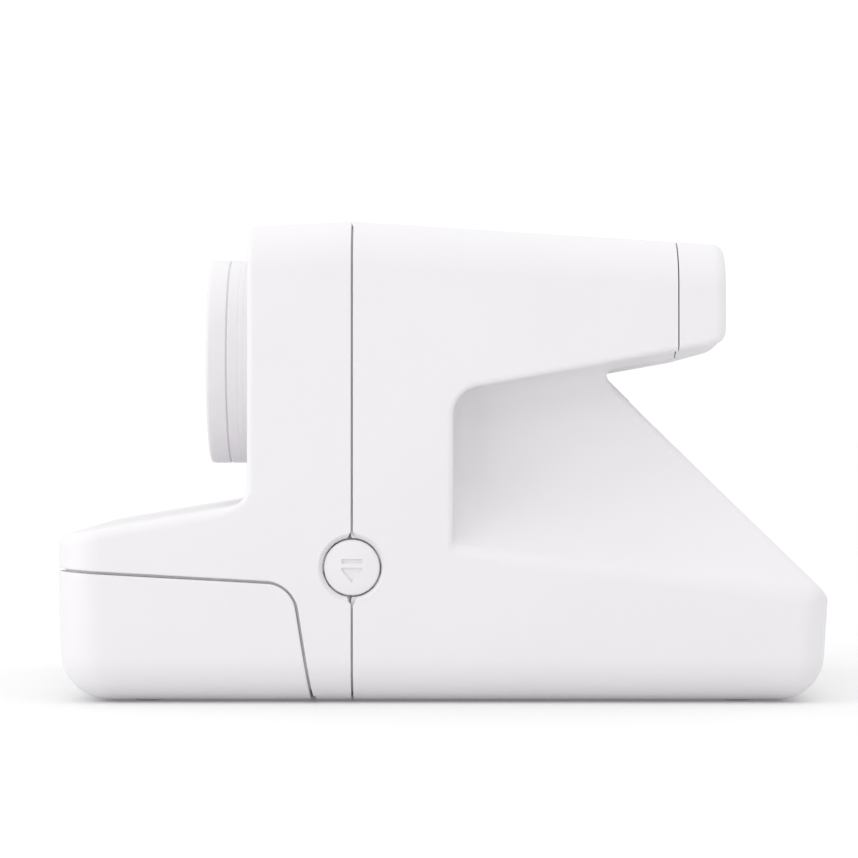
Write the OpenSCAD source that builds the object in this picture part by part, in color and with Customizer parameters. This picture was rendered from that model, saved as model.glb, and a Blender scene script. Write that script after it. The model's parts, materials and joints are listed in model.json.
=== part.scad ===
// Box-type instant camera: moulded two-part housing, drop-down film door with a roller pair,
// folded light path over a mirror, and a viewfinder hump that overhangs a sloping back.
// Front is -Y, the user's left hand is at +X, up is +Z. The flat base is at z = 0.

/* [Housing] */
// Width over the side walls, at the seam
body_w = 112.2; // [110:0.1:114]
// Length from nose to tail
body_l = 150.16; // [149:0.01:151]
// Height at the seam between front and rear housing
body_h = 94; // [93:0.1:95]
// Wall thickness of the mouldings
wall = 2; // [1.8:0.1:2.2]
// Radius of the long top and bottom edges and of the nose and tail corners
edge_r = 9; // [7:0.5:10]
// Seam between front and rear housing, along the length
seam_y = -17.55; // [-18:0.05:-17]
// Visible gap between mouldings
gap = 0.5; // [0.3:0.05:0.6]

/* [Lens] */
// Height of the lens axis above the base
lens_z = 67.5; // [66:0.1:69]
// Outer radius of the lens barrel
barrel_r = 21.3; // [20:0.1:22]
// Front rim of the lens, along the length
rim_y = -48.4; // [-50:0.1:-47]

/* [Film path] */
// Radius of the two spread rollers
roller_r = 4.2; // [3.8:0.1:4.4]
// Length of the rollers' working surface
roller_l = 88; // [86:1:89]
// Width of the space for the film pack
pack_w = 89.2; // [88.8:0.1:89.6]
// Height of the space for the film pack
pack_h = 16.8; // [16.4:0.1:16.8]

/* [Gears] */
// Module of the gear train
gear_m = 0.8; // [0.8:0.1:0.8]
// Backlash, taken off each tooth's thickness
backlash = 0.16; // [0.12:0.02:0.2]

/* [Hidden] */
$fn = 64;

base_z = 0.4;
nose_y = -body_l / 2;
tail_y = body_l / 2;
half_w = body_w / 2;

// Side outline: front face, chin, hump and 45 degree back
face_y = -37.9;
top_front_z = body_h - 1;
rear_y = 55;
top_slope = atan(4.6 / 72.5);
top_rear_z = body_h - (rear_y - seam_y) * tan(top_slope);
chin_z = 33;
chin_root_z = 38.66;
hump_slope = 10.1;
notch = [31.2, 64.6];
notch_r = 2;
hump_z = notch.y + (rear_y - notch.x) * tan(hump_slope);
back_z = notch.x + notch.y - tail_y;
base_draft = 1.1;
side_lean = 1.1;
roof_depth = 70;

// Side recess below the hump
recess_y = 2.1;
recess_d = 13;
recess_fillet = 9;
recess_top = [60.3, tan(hump_slope)];
recess_base = [30.2, -0.128];

// Sum of y and z on the mirror's silvered face, behind the 45 degree back
mirror_sum = tail_y + back_z - 3.1 - 1.57;

// Film door outline and hinge
door_front_z = 25.9;
door_corner = [-29.05, 23.36];
door_foot_y = -25.3;
hinge = [-26.4, 1.9];
knuckle_r = 1.25;
hinge_pin_r = 0.6;
fit = 0.05;

// Film path
floor_z = 3.5;
pack_back_y = 71.2;
pick_z = floor_z + pack_h - 2.9;
nip = [-43, 20.2];
nip_gap = 0.1;
frame_in = 46.3;
plate_t = 2;
shaft_r = 1.5;
slot_w = 94;
catch_x = 44.9;
latch_x = half_w - 8;
tab_x = 40.6;
slot_z = [22.4, 27.7];

// Controls
release = [seam_y, 26.5];
release_r = 5.8;
shutter_pos = [-39, 52];
shutter_r = 5.2;
key_r = 4;
key_z = 79;
key_x = [-40, -27, -14];
display_pos = [4, 79];
eyepiece_pos = [31.5, 79.7];
finder_pos = [38, 79.5];
flash_pos = [-37.5, 79.5];
sensor_pos = [38, 62.5];

// Gear train: tooth counts, then axes worked out from the lower roller
teeth_roller = 14;
teeth_transfer = 22;
teeth_small = 10;
teeth_wheel = 24;
gear_layer_a = -52.3;
gear_layer_b = -49.6;
gear_w = 2.2;

function polar(r, a) = [r * cos(a), r * sin(a)];
function mesh_distance(a, b) = gear_m * (a + b) / 2;
lower_axis = nip - [0, roller_r + nip_gap / 2];
upper_axis = nip + [0, roller_r + nip_gap / 2];
line_roller = 50;
line_transfer = 40;
line_motor = 70;
transfer_axis = lower_axis + polar(mesh_distance(teeth_roller, teeth_transfer), line_roller);
reduction_axis = transfer_axis + polar(mesh_distance(teeth_transfer, teeth_small), line_transfer);
motor_axis = reduction_axis + polar(mesh_distance(teeth_wheel, teeth_small), line_motor);

white = [0.93, 0.92, 0.93];
black = [0.07, 0.07, 0.08];
steel = [0.72, 0.73, 0.75];

// ---- outline helpers -------------------------------------------------------

function unit(v) = v / norm(v);
function xy(p) = [p[0], p[1]];

// One corner of an outline as an arc of radius r in n steps, or the corner itself
function corner_arc(a, b, c, r, n) =
    r <= 0 ? [b] :
    let (u = unit(a - b), w = unit(c - b), half = acos(u * w) / 2)
    let (centre = b + unit(u + w) * r / sin(half), reach = r / tan(half))
    let (first = b + u * reach - centre, last = b + w * reach - centre)
    let (sweep = sign(cross(first, last)) * (180 - 2 * half))
    [for (k = [0:n]) let (q = sweep * k / n)
        centre + [first.x * cos(q) - first.y * sin(q), first.x * sin(q) + first.y * cos(q)]];

// A closed outline from corners [a, b, radius]
function rounded(c, n = 6) =
    let (m = len(c))
    [for (i = [0:m - 1]) each corner_arc(xy(c[(i + m - 1) % m]), xy(c[i]), xy(c[(i + 1) % m]), c[i].z, n)];

module rounded_rect(w, h, r) {
    polygon(rounded([[-w / 2, -h / 2, r], [w / 2, -h / 2, r], [w / 2, h / 2, r], [-w / 2, h / 2, r]], 4));
}

// Extrudes a (Y, Z) outline along X
module along_x(x0, x1) {
    multmatrix([[0, 0, 1, x0], [1, 0, 0, 0], [0, 1, 0, 0], [0, 0, 0, 1]])
        linear_extrude(x1 - x0) children();
}

// Extrudes an (X, Z) outline along Y
module along_y(y0, y1) {
    translate([0, y1, 0]) rotate([90, 0, 0]) linear_extrude(y1 - y0) children();
}

module rod_x(x0, x1, r, at = [0, 0]) {
    translate([x0, at.x, at.y]) rotate([0, 90, 0]) cylinder(h = x1 - x0, r = r);
}

// A cylinder along Y; at is (X, Z)
module rod_y(y0, y1, r, at = [0, 0], r2 = undef) {
    translate([at.x, y0, at.y]) rotate([-90, 0, 0])
        cylinder(h = y1 - y0, r1 = r, r2 = is_undef(r2) ? r : r2);
}

module box(lo, hi) {
    translate(lo) cube(hi - lo);
}

module both_sides() {
    children();
    mirror([1, 0, 0]) children();
}

// ---- housing envelope ------------------------------------------------------

module side_outline() {
    polygon(rounded([
        [nose_y + base_draft, base_z, edge_r],
        [tail_y - base_draft, base_z, edge_r - 1],
        [tail_y, back_z, 0.8],
        [notch.x, notch.y, notch_r],
        [rear_y, hump_z, 4],
        [rear_y, top_rear_z, 2.5],
        [seam_y, body_h, 0],
        [face_y, top_front_z, 1],
        [face_y, chin_root_z, 4.5],
        [nose_y, chin_z, 1.8],
        [nose_y, 20, 60],
    ]));
}

module plan_outline() {
    polygon(rounded([
        [-half_w, nose_y, edge_r], [half_w, nose_y, edge_r],
        [half_w, tail_y, edge_r], [-half_w, tail_y, edge_r],
    ]));
}

// Cross-section below the roof line, which is its z = 0
module roof_outline() {
    w = half_w - side_lean;
    foot = -roof_depth;
    polygon(rounded([[w, 0, edge_r], [-w, 0, edge_r], [-half_w, foot, 0], [-half_w, 1.5 * foot, 0],
        [half_w, 1.5 * foot, 0], [half_w, foot, 0]]));
}

module base_outline() {
    polygon(rounded([[-half_w, base_z, edge_r], [half_w, base_z, edge_r], [half_w, 120, 0], [-half_w, 120, 0]]));
}

// The housing's outer form, moved in by the given thickness; tilt follows the roof line
module envelope(inset, tilt) {
    intersection() {
        along_x(-60, 60) offset(delta = -inset) side_outline();
        translate([0, 0, -10]) linear_extrude(120) offset(delta = -inset) plan_outline();
        translate([0, seam_y, body_h]) rotate([tilt, 0, 0])
            along_y(-110, 110) offset(delta = -inset) roof_outline();
        along_y(-90, 90) offset(delta = -inset) base_outline();
    }
}

// Depth of the side recess at share t of its height: a concave sweep that ends under the hump
function recess_share(t) = sin(90 * min(t / 0.68, 1));
function recess_reach(y) = sqrt(max(0, 1 - pow(1 - min(1, (y - recess_y) / recess_fillet), 2)));

function recess_ring(y, grow) =
    let (z0 = recess_base.x + recess_base.y * y - grow, z1 = recess_top.x + recess_top.y * y + grow)
    let (steps = 8, d = recess_d * recess_reach(y + grow) + grow)
    concat(
        [for (k = [0:steps]) let (t = k / steps)
            [half_w - d * recess_share(t) - 0.02, y, z0 + (z1 - z0) * t]],
        [[half_w + 8, y, z1], [half_w + 8, y, z0]]);

// The recess on the +X side as a solid, grown by the wall thickness for the inside face
module recess(grow = 0) {
    stations = concat([for (k = [0:5]) recess_y - grow + 0.05 + recess_fillet * (1 - cos(18 * k))], [85]);
    rings = [for (y = stations) recess_ring(y, grow)];
    n = len(rings[0]);
    m = len(rings);
    polyhedron(
        points = [for (r = rings) each r],
        faces = concat(
            [[for (i = [0:n - 1]) i]],
            [for (j = [0:m - 2], i = [0:n - 1]) let (a = j * n + i, b = j * n + (i + 1) % n) [a, a + n, b]],
            [for (j = [0:m - 2], i = [0:n - 1]) let (a = j * n + i, b = j * n + (i + 1) % n) [a + n, b + n, b]],
            [[for (i = [n - 1:-1:0]) (m - 1) * n + i]]));
}

// Everything in front of and below the door's parting line
module door_zone(grow) {
    top = door_corner.y + (door_corner.x + 95) * (door_front_z - door_corner.y) / (door_corner.x - nose_y);
    along_x(-70, 70) offset(delta = grow) polygon(rounded([
        [-95, -20, 0], [-95, top, 0],
        [door_corner.x, door_corner.y, 4.5],
        [door_foot_y + 20 * (door_foot_y - door_corner.x) / door_corner.y, -20, 0],
    ]));
}

module release_hole() {
    translate([half_w - 8, release.x, release.y]) rotate([0, 90, 0]) cylinder(h = 12, r = release_r + 0.35);
    translate([half_w - 0.9, release.x, release.y]) rotate([0, 90, 0])
        cylinder(h = 1.5, r1 = release_r + 0.35, r2 = release_r + 1.1);
}

module picture_slot(deep = 8) {
    along_y(nose_y - 2, nose_y + deep) translate([0, (slot_z.x + slot_z.y) / 2])
        rounded_rect(slot_w, slot_z.y - slot_z.x, 2.2);
}

screw_spots = [[51.3, 83], [-51.3, 83], [51.3, 60], [-51.3, 60]];
boss_r = 2.6;

module front_shell() {
    color(white) difference() {
        union() {
            difference() {
                envelope(0, atan(1 / (seam_y - face_y)));
                difference() {
                    envelope(wall, atan(1 / (seam_y - face_y)));
                    for (s = screw_spots) rod_y(face_y, seam_y, boss_r, s);
                }
                box([-70, seam_y - gap / 2, -10], [70, 90, 110]);
            }
            // collar behind the lens opening and posts for the shutter switch
            rod_y(face_y + wall - 0.1, face_y + wall + 3, barrel_r + 2.4, [0, lens_z]);
            for (dz = [-8, 8]) rod_y(face_y + wall - 0.1, face_y + 9, 1.2, shutter_pos + [0, dz]);
        }
        door_zone(gap / 2);
        rod_y(face_y - 5, face_y + 1.2, barrel_r - 1.7, [0, lens_z]);
        rod_y(face_y + 1, face_y + 10, barrel_r - 1.7, [0, lens_z]);
        along_y(face_y - 1, face_y + 5) {
            translate(flash_pos) rounded_rect(24, 15, 2.5);
            translate(finder_pos) rounded_rect(17, 14, 2.5);
            translate(sensor_pos) rounded_rect(11, 5.4, 2.6);
        }
        rod_y(face_y - 1, face_y + 5, shutter_r + 0.3, shutter_pos);
        for (s = screw_spots) rod_y(seam_y - 9, seam_y + 1, 0.8, s);
        release_hole();
        picture_slot();
        rod_x(-60, 60, knuckle_r + 0.45, hinge);
        box([-60, hinge.x - 2, -1], [60, hinge.x + 1.8, hinge.y]);
    }
}

// Inner lip on the rear housing that closes the seam from behind
module seam_lip() {
    intersection() {
        envelope(wall + 0.2, -top_slope);
        difference() {
            box([-70, seam_y - 1.6, slot_z.x + 2], [70, seam_y + gap, 110]);
            for (s = screw_spots) rod_y(seam_y - 2, seam_y - gap / 2, boss_r + 0.3, s);
        }
    }
}

module rear_shell() {
    color(white) difference() {
        union() {
            difference() {
                envelope(0, -top_slope);
                box([-70, -90, -10], [70, seam_y + gap / 2, 110]);
            }
            seam_lip();
        }
        difference() {
            envelope(wall, -top_slope);
            both_sides() recess(wall);
            for (s = screw_spots) rod_y(seam_y, seam_y + 9, boss_r, s);
            both_sides() strap_pocket(1.2);
            difference() {
                box([-70, seam_y - 3, slot_z.x + 2], [70, seam_y + 2, 110]);
                envelope(wall + 1.1, -top_slope);
            }
        }
        rod_x(44, half_w - wall + 0.1, release_r + 1.4, release);
        both_sides() recess();
        both_sides() strap_pocket(0);
        box([-70, cap_y - gap / 4, notch.y - 5], [70, 90, 110]);
        for (s = screw_spots) rod_y(seam_y - 2, seam_y + 12, 1.15, s);
        release_hole();
        translate([-half_w - 2, usb_pos.x, usb_pos.y]) along_x(0, 8) rounded_rect(9, 3.6, 1);
        rod_x(-half_w - 2, -half_w + 6, 0.9, usb_pos + [8, 0]);
    }
    color(white) both_sides()
        rod_x(strap_x - 4.8, strap_x + 4.8, 1.1, strap_at - [1.1, 1.1]);
}

// ---- hump end cap and controls ---------------------------------------------

cap_y = 45.7;
strap_x = 37.6;
strap_at = [39.5, 56.3];
usb_pos = [34, 13];

// A pocket in the sloping back, open towards the rear, with the strap bar across it
module strap_pocket(grow) {
    translate([strap_x, strap_at.x, strap_at.y]) rotate([-45, 0, 0])
        box([-4.2 - grow, -4 - grow, -4.2 - grow], [4.2 + grow, 4 + grow, 6]);
}

module rear_cap() {
    color(white) difference() {
        envelope(0, -top_slope);
        both_sides() recess();
        difference() {
            envelope(wall, -top_slope);
            both_sides() recess(wall);
        }
        box([-70, -90, -10], [70, cap_y + gap / 4, 110]);
        box([-70, cap_y - 1, -10], [70, 90, notch.y - 5]);
        for (x = key_x) rod_y(rear_y - 6, rear_y + 1, key_r + 0.25, [x, key_z]);
        along_y(rear_y - 6, rear_y + 1) {
            translate(display_pos) rounded_rect(13, 9, 1.5);
            translate(eyepiece_pos) rounded_rect(22, 14, 4);
        }
    }
}

module key(x) {
    color(white) {
        difference() {
            rod_y(rear_y - 3.2, rear_y - 0.1, key_r, [x, key_z]);
            translate([x, rear_y + 11.6, key_z]) sphere(r = 12);
        }
        rod_y(rear_y - 4, rear_y - 3.1, key_r + 0.9, [x, key_z]);
        rod_y(rear_y - 5.6, rear_y - 3.9, 1.2, [x, key_z]);
    }
}

module power_button() {
    key(key_x[0]);
}

module flash_button() {
    key(key_x[1]);
}

module timer_button() {
    key(key_x[2]);
}

module display_window() {
    color([0.15, 0.05, 0.05]) along_y(rear_y - 1.6, rear_y - 0.2)
        translate(display_pos) rounded_rect(12.8, 8.8, 1.4);
}

// Two digits of seven bars each, on a small block
module counter_display() {
    color([0.95, 0.45, 0.1]) {
        box([display_pos.x - 6, rear_y - 5.4, display_pos.y - 4], [display_pos.x + 6, rear_y - 2.4, display_pos.y + 4]);
        for (dx = [-2.7, 2.7]) translate([display_pos.x + dx, rear_y - 2.45, display_pos.y]) {
            for (dz = [-2.5, 0, 2.5]) box([-1, 0, dz - 0.3], [1, 0.35, dz + 0.3]);
            for (sx = [-1.35, 1.35], dz = [-1.25, 1.25]) box([sx - 0.3, 0, dz - 0.9], [sx + 0.3, 0.35, dz + 0.9]);
        }
    }
}

module control_board() {
    color([0.05, 0.25, 0.15]) box([-46, rear_y - 8.4, 72.5], [18, rear_y - 7.4, 86]);
    color(black) for (x = key_x) {
        box([x - 2.6, rear_y - 7.41, key_z - 2.6], [x + 2.6, rear_y - 6.5, key_z + 2.6]);
        rod_y(rear_y - 6.6, rear_y - 6.3, 1.4, [x, key_z]);
    }
}

module eyepiece_bezel() {
    color(black) difference() {
        union() {
            along_y(rear_y - 6.5, rear_y - 0.15) translate(eyepiece_pos) rounded_rect(21.8, 13.8, 3.9);
            along_y(rear_y - 4, rear_y - 2.4) translate(eyepiece_pos) rounded_rect(24, 15, 4.2);
        }
        along_y(rear_y - 8, rear_y - 2.2) translate(eyepiece_pos) rounded_rect(14, 9, 2);
        hull() {
            along_y(rear_y - 2.3, rear_y - 2.2) translate(eyepiece_pos) rounded_rect(14, 9, 2);
            along_y(rear_y, rear_y + 0.1) translate(eyepiece_pos) rounded_rect(18, 12, 3);
        }
    }
}

module eyepiece_lens() {
    color([0.8, 0.9, 1, 0.4]) along_y(rear_y - 5, rear_y - 2.8) translate(eyepiece_pos) rounded_rect(13.9, 8.9, 2);
}

module viewfinder_window() {
    color([0.6, 0.7, 0.8, 0.4]) along_y(face_y + 0.3, face_y + 1.8) translate(finder_pos) rounded_rect(16.8, 13.8, 2.4);
}

// Square light tunnel from the front window to the eyepiece
module viewfinder_tunnel() {
    module run(grow) {
        hull() {
            along_y(face_y + 2.1 - grow / 9, face_y + 2.2) translate(finder_pos) rounded_rect(15 + grow, 12 + grow, 1);
            along_y(rear_y - 9.1, rear_y - 8.7 + grow / 9) translate(eyepiece_pos) rounded_rect(12 + grow, 8 + grow, 1);
        }
    }
    color(black) difference() {
        run(2);
        run(0);
        box([0, face_y - 5, 60], [60, face_y + 2.12, 99]);
        box([0, rear_y - 8.72, 60], [60, rear_y + 9, 99]);
    }
}

// ---- front face: flash, sensor and shutter button --------------------------

module flash_window() {
    color([0.92, 0.95, 1, 0.5]) along_y(face_y + 0.2, face_y + 2.2) translate(flash_pos) rounded_rect(23.8, 14.8, 2.4);
}

module flash_reflector() {
    color([0.9, 0.9, 0.92]) translate([flash_pos.x, face_y, flash_pos.y]) difference() {
        box([-11, 2.4, -7.2], [11, 13.6, 7.2]);
        along_x(-10.2, 10.2) polygon(concat([[2.3, 6.6], [2.3, -6.6]],
            [for (k = [-4:4]) let (z = k * 1.65) [12.8 - z * z * 0.13, z]]));
    }
}

module flash_tube() {
    color([0.9, 0.95, 1, 0.5]) rod_x(flash_pos.x - 10, flash_pos.x + 10, 1.5, [face_y + 10, flash_pos.y]);
}

module flash_capacitor() {
    color([0.1, 0.1, 0.12]) {
        rod_y(-14, 16, 6, [-40, 78]);
        for (dx = [-2.5, 2.5]) rod_y(15.9, 19, 0.4, [-40 + dx, 78]);
    }
}

module sensor_window() {
    color([0.08, 0.05, 0.07]) along_y(face_y + 0.3, face_y + 2.2) translate(sensor_pos) rounded_rect(10.8, 5.2, 2.5);
}

module shutter_button() {
    color([0.85, 0.16, 0.12]) {
        difference() {
            rod_y(face_y - 1.2, face_y + 2.4, shutter_r, shutter_pos);
            translate([shutter_pos.x, face_y - 16.6, shutter_pos.y]) sphere(r = 16);
        }
        rod_y(face_y + 2.4, face_y + 3.2, shutter_r + 1.1, shutter_pos);
        rod_y(face_y + 3.1, face_y + 4.6, 1.5, shutter_pos);
    }
}

module shutter_switch() {
    color([0.05, 0.25, 0.15])
        box([shutter_pos.x - 6, face_y + 9, shutter_pos.y - 9.5], [shutter_pos.x + 6, face_y + 10, shutter_pos.y + 9.5]);
    color(black) {
        box([shutter_pos.x - 3, face_y + 7, shutter_pos.y - 3], [shutter_pos.x + 3, face_y + 9.01, shutter_pos.y + 3]);
        rod_y(face_y + 6.3, face_y + 7.1, 1.2, shutter_pos);
    }
}

// A helical spring along Z from z = 0 up
module coil(r, wire, turns, length, n = 12) {
    ring = 6;
    last = turns * n;
    function at(i) = [r * cos(360 * i / n), r * sin(360 * i / n), wire + (length - 2 * wire) * i / last];
    function frame_point(i, k) =
        let (a = 360 * i / n, q = 360 * k / ring)
        at(i) + wire * cos(q) * [cos(a), sin(a), 0] + wire * sin(q) * [0, 0, 1];
    polyhedron(
        points = [for (i = [0:last], k = [0:ring - 1]) frame_point(i, k)],
        faces = concat(
            [[for (k = [0:ring - 1]) k]],
            [for (i = [0:last - 1], k = [0:ring - 1])
                let (a = i * ring + k, b = i * ring + (k + 1) % ring) [a, a + ring, b]],
            [for (i = [0:last - 1], k = [0:ring - 1])
                let (a = i * ring + k, b = i * ring + (k + 1) % ring) [b, a + ring, b + ring]],
            [[for (k = [ring - 1:-1:0]) last * ring + k]]));
}

module shutter_button_spring() {
    color(steel) translate([shutter_pos.x, face_y + 3.25, shutter_pos.y]) rotate([-90, 0, 0])
        coil(2.5, 0.3, 3, 3.7);
}

// ---- lens and shutter ------------------------------------------------------

groove_y = -44.1;

module lens_barrel() {
    color(white) difference() {
        union() {
            rod_y(groove_y + 0.2, face_y - 0.05, barrel_r, [0, lens_z]);
            rod_y(face_y - 0.1, face_y + 5, barrel_r - 1.9, [0, lens_z]);
        }
        rod_y(groove_y - 1, face_y + 6, barrel_r - 4, [0, lens_z]);
    }
}

module lens_ring() {
    color(white) difference() {
        union() {
            rod_y(rim_y, rim_y + 0.7, barrel_r - 0.7, [0, lens_z], barrel_r);
            rod_y(rim_y + 0.7, groove_y - 0.2, barrel_r, [0, lens_z]);
            rod_y(groove_y - 0.3, groove_y + 0.2, barrel_r - 0.6, [0, lens_z]);
        }
        rod_y(rim_y - 1, rim_y + 2.2, barrel_r - 3.2, [0, lens_z], barrel_r - 4.2);
        rod_y(rim_y + 1, groove_y + 1, barrel_r - 4.2, [0, lens_z]);
    }
}

// Black baffle with stepped rings that narrow towards the glass
module lens_cone() {
    steps = 6;
    depth = 10;
    r0 = barrel_r - 4.3;
    r1 = 9;
    color(black) difference() {
        rod_y(rim_y + 2.3, face_y + 4.5, r0, [0, lens_z]);
        for (k = [0:steps - 1])
            rod_y(rim_y + 1.9 + depth * k / steps, rim_y + 2.6 + depth * (k + 1) / steps,
                r0 - 1 - (r0 - 1 - r1) * k / steps, [0, lens_z]);
        rod_y(rim_y + 2, face_y + 6, 8, [0, lens_z]);
    }
}

// Meniscus glass: front and back faces are spheres of different radius
module front_lens() {
    r = 7.95;
    front = 20;
    back = 48;
    thick = 3.5;
    function dome(big, q) = big - sqrt(big * big - q * q);
    color([0.6, 0.7, 0.85, 0.35]) translate([0, face_y - 1.6, lens_z]) rotate([-90, 0, 0])
        rotate_extrude() polygon(concat(
            [for (k = [0:8]) let (q = r * k / 8) [q, dome(front, q)]],
            [for (k = [8:-1:0]) let (q = r * k / 8) [q, thick + dome(back, q)]]));
}

housing_y = [-32.8, -23];
blade_y = -30.5;
blade_pivot = [0, lens_z - 14];

module shutter_housing() {
    color(black) difference() {
        along_y(housing_y.x, housing_y.y) translate([0, lens_z - 1]) rounded_rect(50, 40, 5);
        along_y(housing_y.x + 1.2, housing_y.y - 1.2) translate([0, lens_z - 1]) rounded_rect(47.6, 37.6, 4);
        rod_y(housing_y.x - 1, housing_y.y + 1, 8, [0, lens_z]);
    }
    color(black) {
        rod_y(housing_y.x + 1, blade_y + 1.3, 0.8, blade_pivot);
        rod_y(disc_y - 0.6, housing_y.y - 1, 1, disc_axis);
    }
}

// A blade with an eye at the lower pivot, covering a little more than half of the aperture
module blade(y, side) {
    color([0.12, 0.12, 0.13]) difference() {
        along_y(y, y + 0.4) translate(blade_pivot) polygon(rounded([
            [-3 * side, -3, 2.9], [3 * side, -3, 2.9], [4 * side, 2, 3], [11 * side, 6, 4],
            [11 * side, 23, 4], [-1.2 * side, 23, 1], [-1.2 * side, 6, 2], [-3 * side, 2, 1.5],
        ]));
        rod_y(y - 1, y + 1, 0.8 + fit, blade_pivot);
    }
}

module shutter_blade_upper() {
    blade(blade_y, 1);
}

module shutter_blade_lower() {
    blade(blade_y + 0.7, -1);
}

solenoid_z = lens_z + 13.5;

module shutter_solenoid() {
    color([0.65, 0.4, 0.15]) difference() {
        box([12.4, blade_y + 1.6, solenoid_z - 3], [22.4, blade_y + 6, solenoid_z + 3]);
        rod_x(11.4, 21.8, 1.3, [blade_y + 3.8, solenoid_z]);
    }
}

module solenoid_plunger() {
    color(steel) {
        rod_x(8, 18.2, 1.25, [blade_y + 3.8, solenoid_z]);
        rod_x(7.3, 8.1, 2, [blade_y + 3.8, solenoid_z]);
    }
}

disc_axis = [-11, lens_z - 3];
disc_y = housing_y.y - 4.6;

// Clear sector with a near and a far lens moulded in, 60 degrees apart
module focus_disc() {
    arm = norm([0, lens_z] - disc_axis);
    home = atan2(lens_z - disc_axis.y, -disc_axis.x);
    lens_r = 4.6;
    function cap(q) = sqrt(150 - q * q) - sqrt(150 - lens_r * lens_r) + 0.4;
    color([0.75, 0.85, 0.9, 0.5]) difference() {
        union() {
            along_y(disc_y, disc_y + 1.2) translate(disc_axis) {
                circle(r = 3);
                polygon(concat([[0, 0]], [for (k = [0:10]) polar(arm + 5, home - 26 + 11.2 * k)]));
            }
            for (a = [0, 60]) translate([disc_axis.x, disc_y + 0.6, disc_axis.y]) rotate([0, -home - a, 0])
                translate([arm, 0, 0]) rotate([-90, 0, 0]) rotate_extrude() polygon(concat(
                    [for (k = [0:5]) let (q = lens_r * k / 5) [q, -0.6 - cap(q)]],
                    [for (k = [5:-1:0]) let (q = lens_r * k / 5) [q, 0.6 + cap(q)]]));
        }
        rod_y(disc_y - 2, disc_y + 4, 1 + fit, disc_axis);
    }
}

// ---- electronics -----------------------------------------------------------

// Upright board along the side wall, with its parts facing inwards
module main_board() {
    x = -50.2;
    color([0.05, 0.25, 0.15]) difference() {
        box([x - 1.2, -6, 71.2], [x, 38, 83.6]);
        for (y = [-3.5, 35.5], z = [73.7, 81.1]) rod_x(x - 2, x + 1, 1.2, [y, z]);
    }
    color(black) {
        box([x - 0.01, 22, 72.5], [x + 1, 32, 82.5]);
        box([x - 0.01, -1, 75], [x + 0.8, 5, 79.5]);
        box([x - 0.01, 8, 78.5], [x + 2, 14, 83]);
    }
    color(steel) for (k = [0:3]) box([x - 0.01, 6 + 4 * k, 72.4], [x + 1, 8.4 + 4 * k, 76]);
}

module battery() {
    color([0.75, 0.75, 0.78]) box([-28, 14.5, 81.8], [22, 44.5, 87]);
    color([0.85, 0.7, 0.2]) box([-24, 12.8, 82.6], [18, 14.6, 86.2]);
}

module usb_socket() {
    color([0.05, 0.25, 0.15]) box([-half_w + 3.4, usb_pos.x - 8, usb_pos.y - 2.8], [-half_w + 9, usb_pos.x + 11, usb_pos.y - 1.7]);
    color(steel) difference() {
        translate([-half_w + 2, usb_pos.x, usb_pos.y]) along_x(0, 6) rounded_rect(8, 2.9, 0.6);
        translate([-half_w + 1.9, usb_pos.x, usb_pos.y]) along_x(0, 5.4) rounded_rect(7.2, 2.1, 0.4);
    }
    color([0.9, 0.9, 0.85]) {
        rod_x(-half_w + 0.9, -half_w + 5.5, 0.8, usb_pos + [8, 0]);
        box([-half_w + 5.4, usb_pos.x + 7, usb_pos.y - 1.75], [-half_w + 7, usb_pos.x + 9, usb_pos.y + 0.9]);
    }
}

// ---- film chamber and light path -------------------------------------------

// Where the film pack lies: open at the front, with the picture window in its top
module film_chamber() {
    x1 = pack_w / 2;
    x2 = x1 + 1.4;
    y0 = -24;
    y1 = pack_back_y;
    z1 = floor_z + pack_h;
    color(black) {
        difference() {
            intersection() {
                box([-x2, y0, floor_z - 0.9], [x2, y1 + 1, z1 + 1.2]);
                envelope(wall + 0.1, -top_slope);
            }
            intersection() {
                box([-x1, y0 - 1, floor_z], [x1, y1, z1]);
                envelope(wall + 1.1, -top_slope);
            }
            box([-39.8, -15, z1 - 1], [39.8, 66, z1 + 3]);
            box([-x2 - 1, y1 - 5, z1 + 0.1], [x2 + 1, y1 + 3, z1 + 3]);
            // channel that the film pick runs in
            box([-x1 - 3, y1 - 28, pick_z - 1.3], [-x1 + 0.3, y1 + 0.2, pick_z + 1.3]);
        }
        // seat of the latch spring
        box([tab_x, release.x - 2.6, z1], [tab_x + 1, release.x + 2.6, release.y + 3]);
        // hinge knuckles on arms that reach forward over the housing's lip
        for (s = [[-46, -40], [-4, 4], [40, 46]]) difference() {
            union() {
                rod_x(s.x, s.y, knuckle_r, hinge);
                box([s.x, hinge.x, floor_z - 0.9], [s.y, y0 + 2, floor_z]);
            }
            rod_x(s.x - 1, s.y + 1, hinge_pin_r, hinge);
        }
    }
}

module hinge_pin() {
    color(steel) rod_x(-46, 46, hinge_pin_r, hinge);
}

// Light cone from the shutter to the mirror and down to the film window
module light_cone(grow) {
    top = floor_z + pack_h + 1.25;
    hull() {
        along_y(-22.6, -22.5) translate([0, lens_z]) circle(r = 9 + grow, $fn = 32);
        box([-39.2 - grow, -14.6 - grow, top - 1], [39.2 + grow, 57 + grow, top + 0.1]);
        box([-37 - grow, 57, top], [37 + grow, 57 + grow, 33]);
        box([-17 - grow, 4, 84], [17 + grow, 6, 84 + grow]);
    }
}

module dark_box() {
    color(black) difference() {
        light_cone(1.2);
        light_cone(0);
        box([-60, -40, 0], [60, 80, floor_z + pack_h + 1.25]);
        translate([0, mirror_sum / 2, mirror_sum / 2]) rotate([-45, 0, 0]) box([-60, -60, -0.1], [60, 60, 30]);
        rod_y(-24, -20, 9, [0, lens_z]);
    }
}

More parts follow.
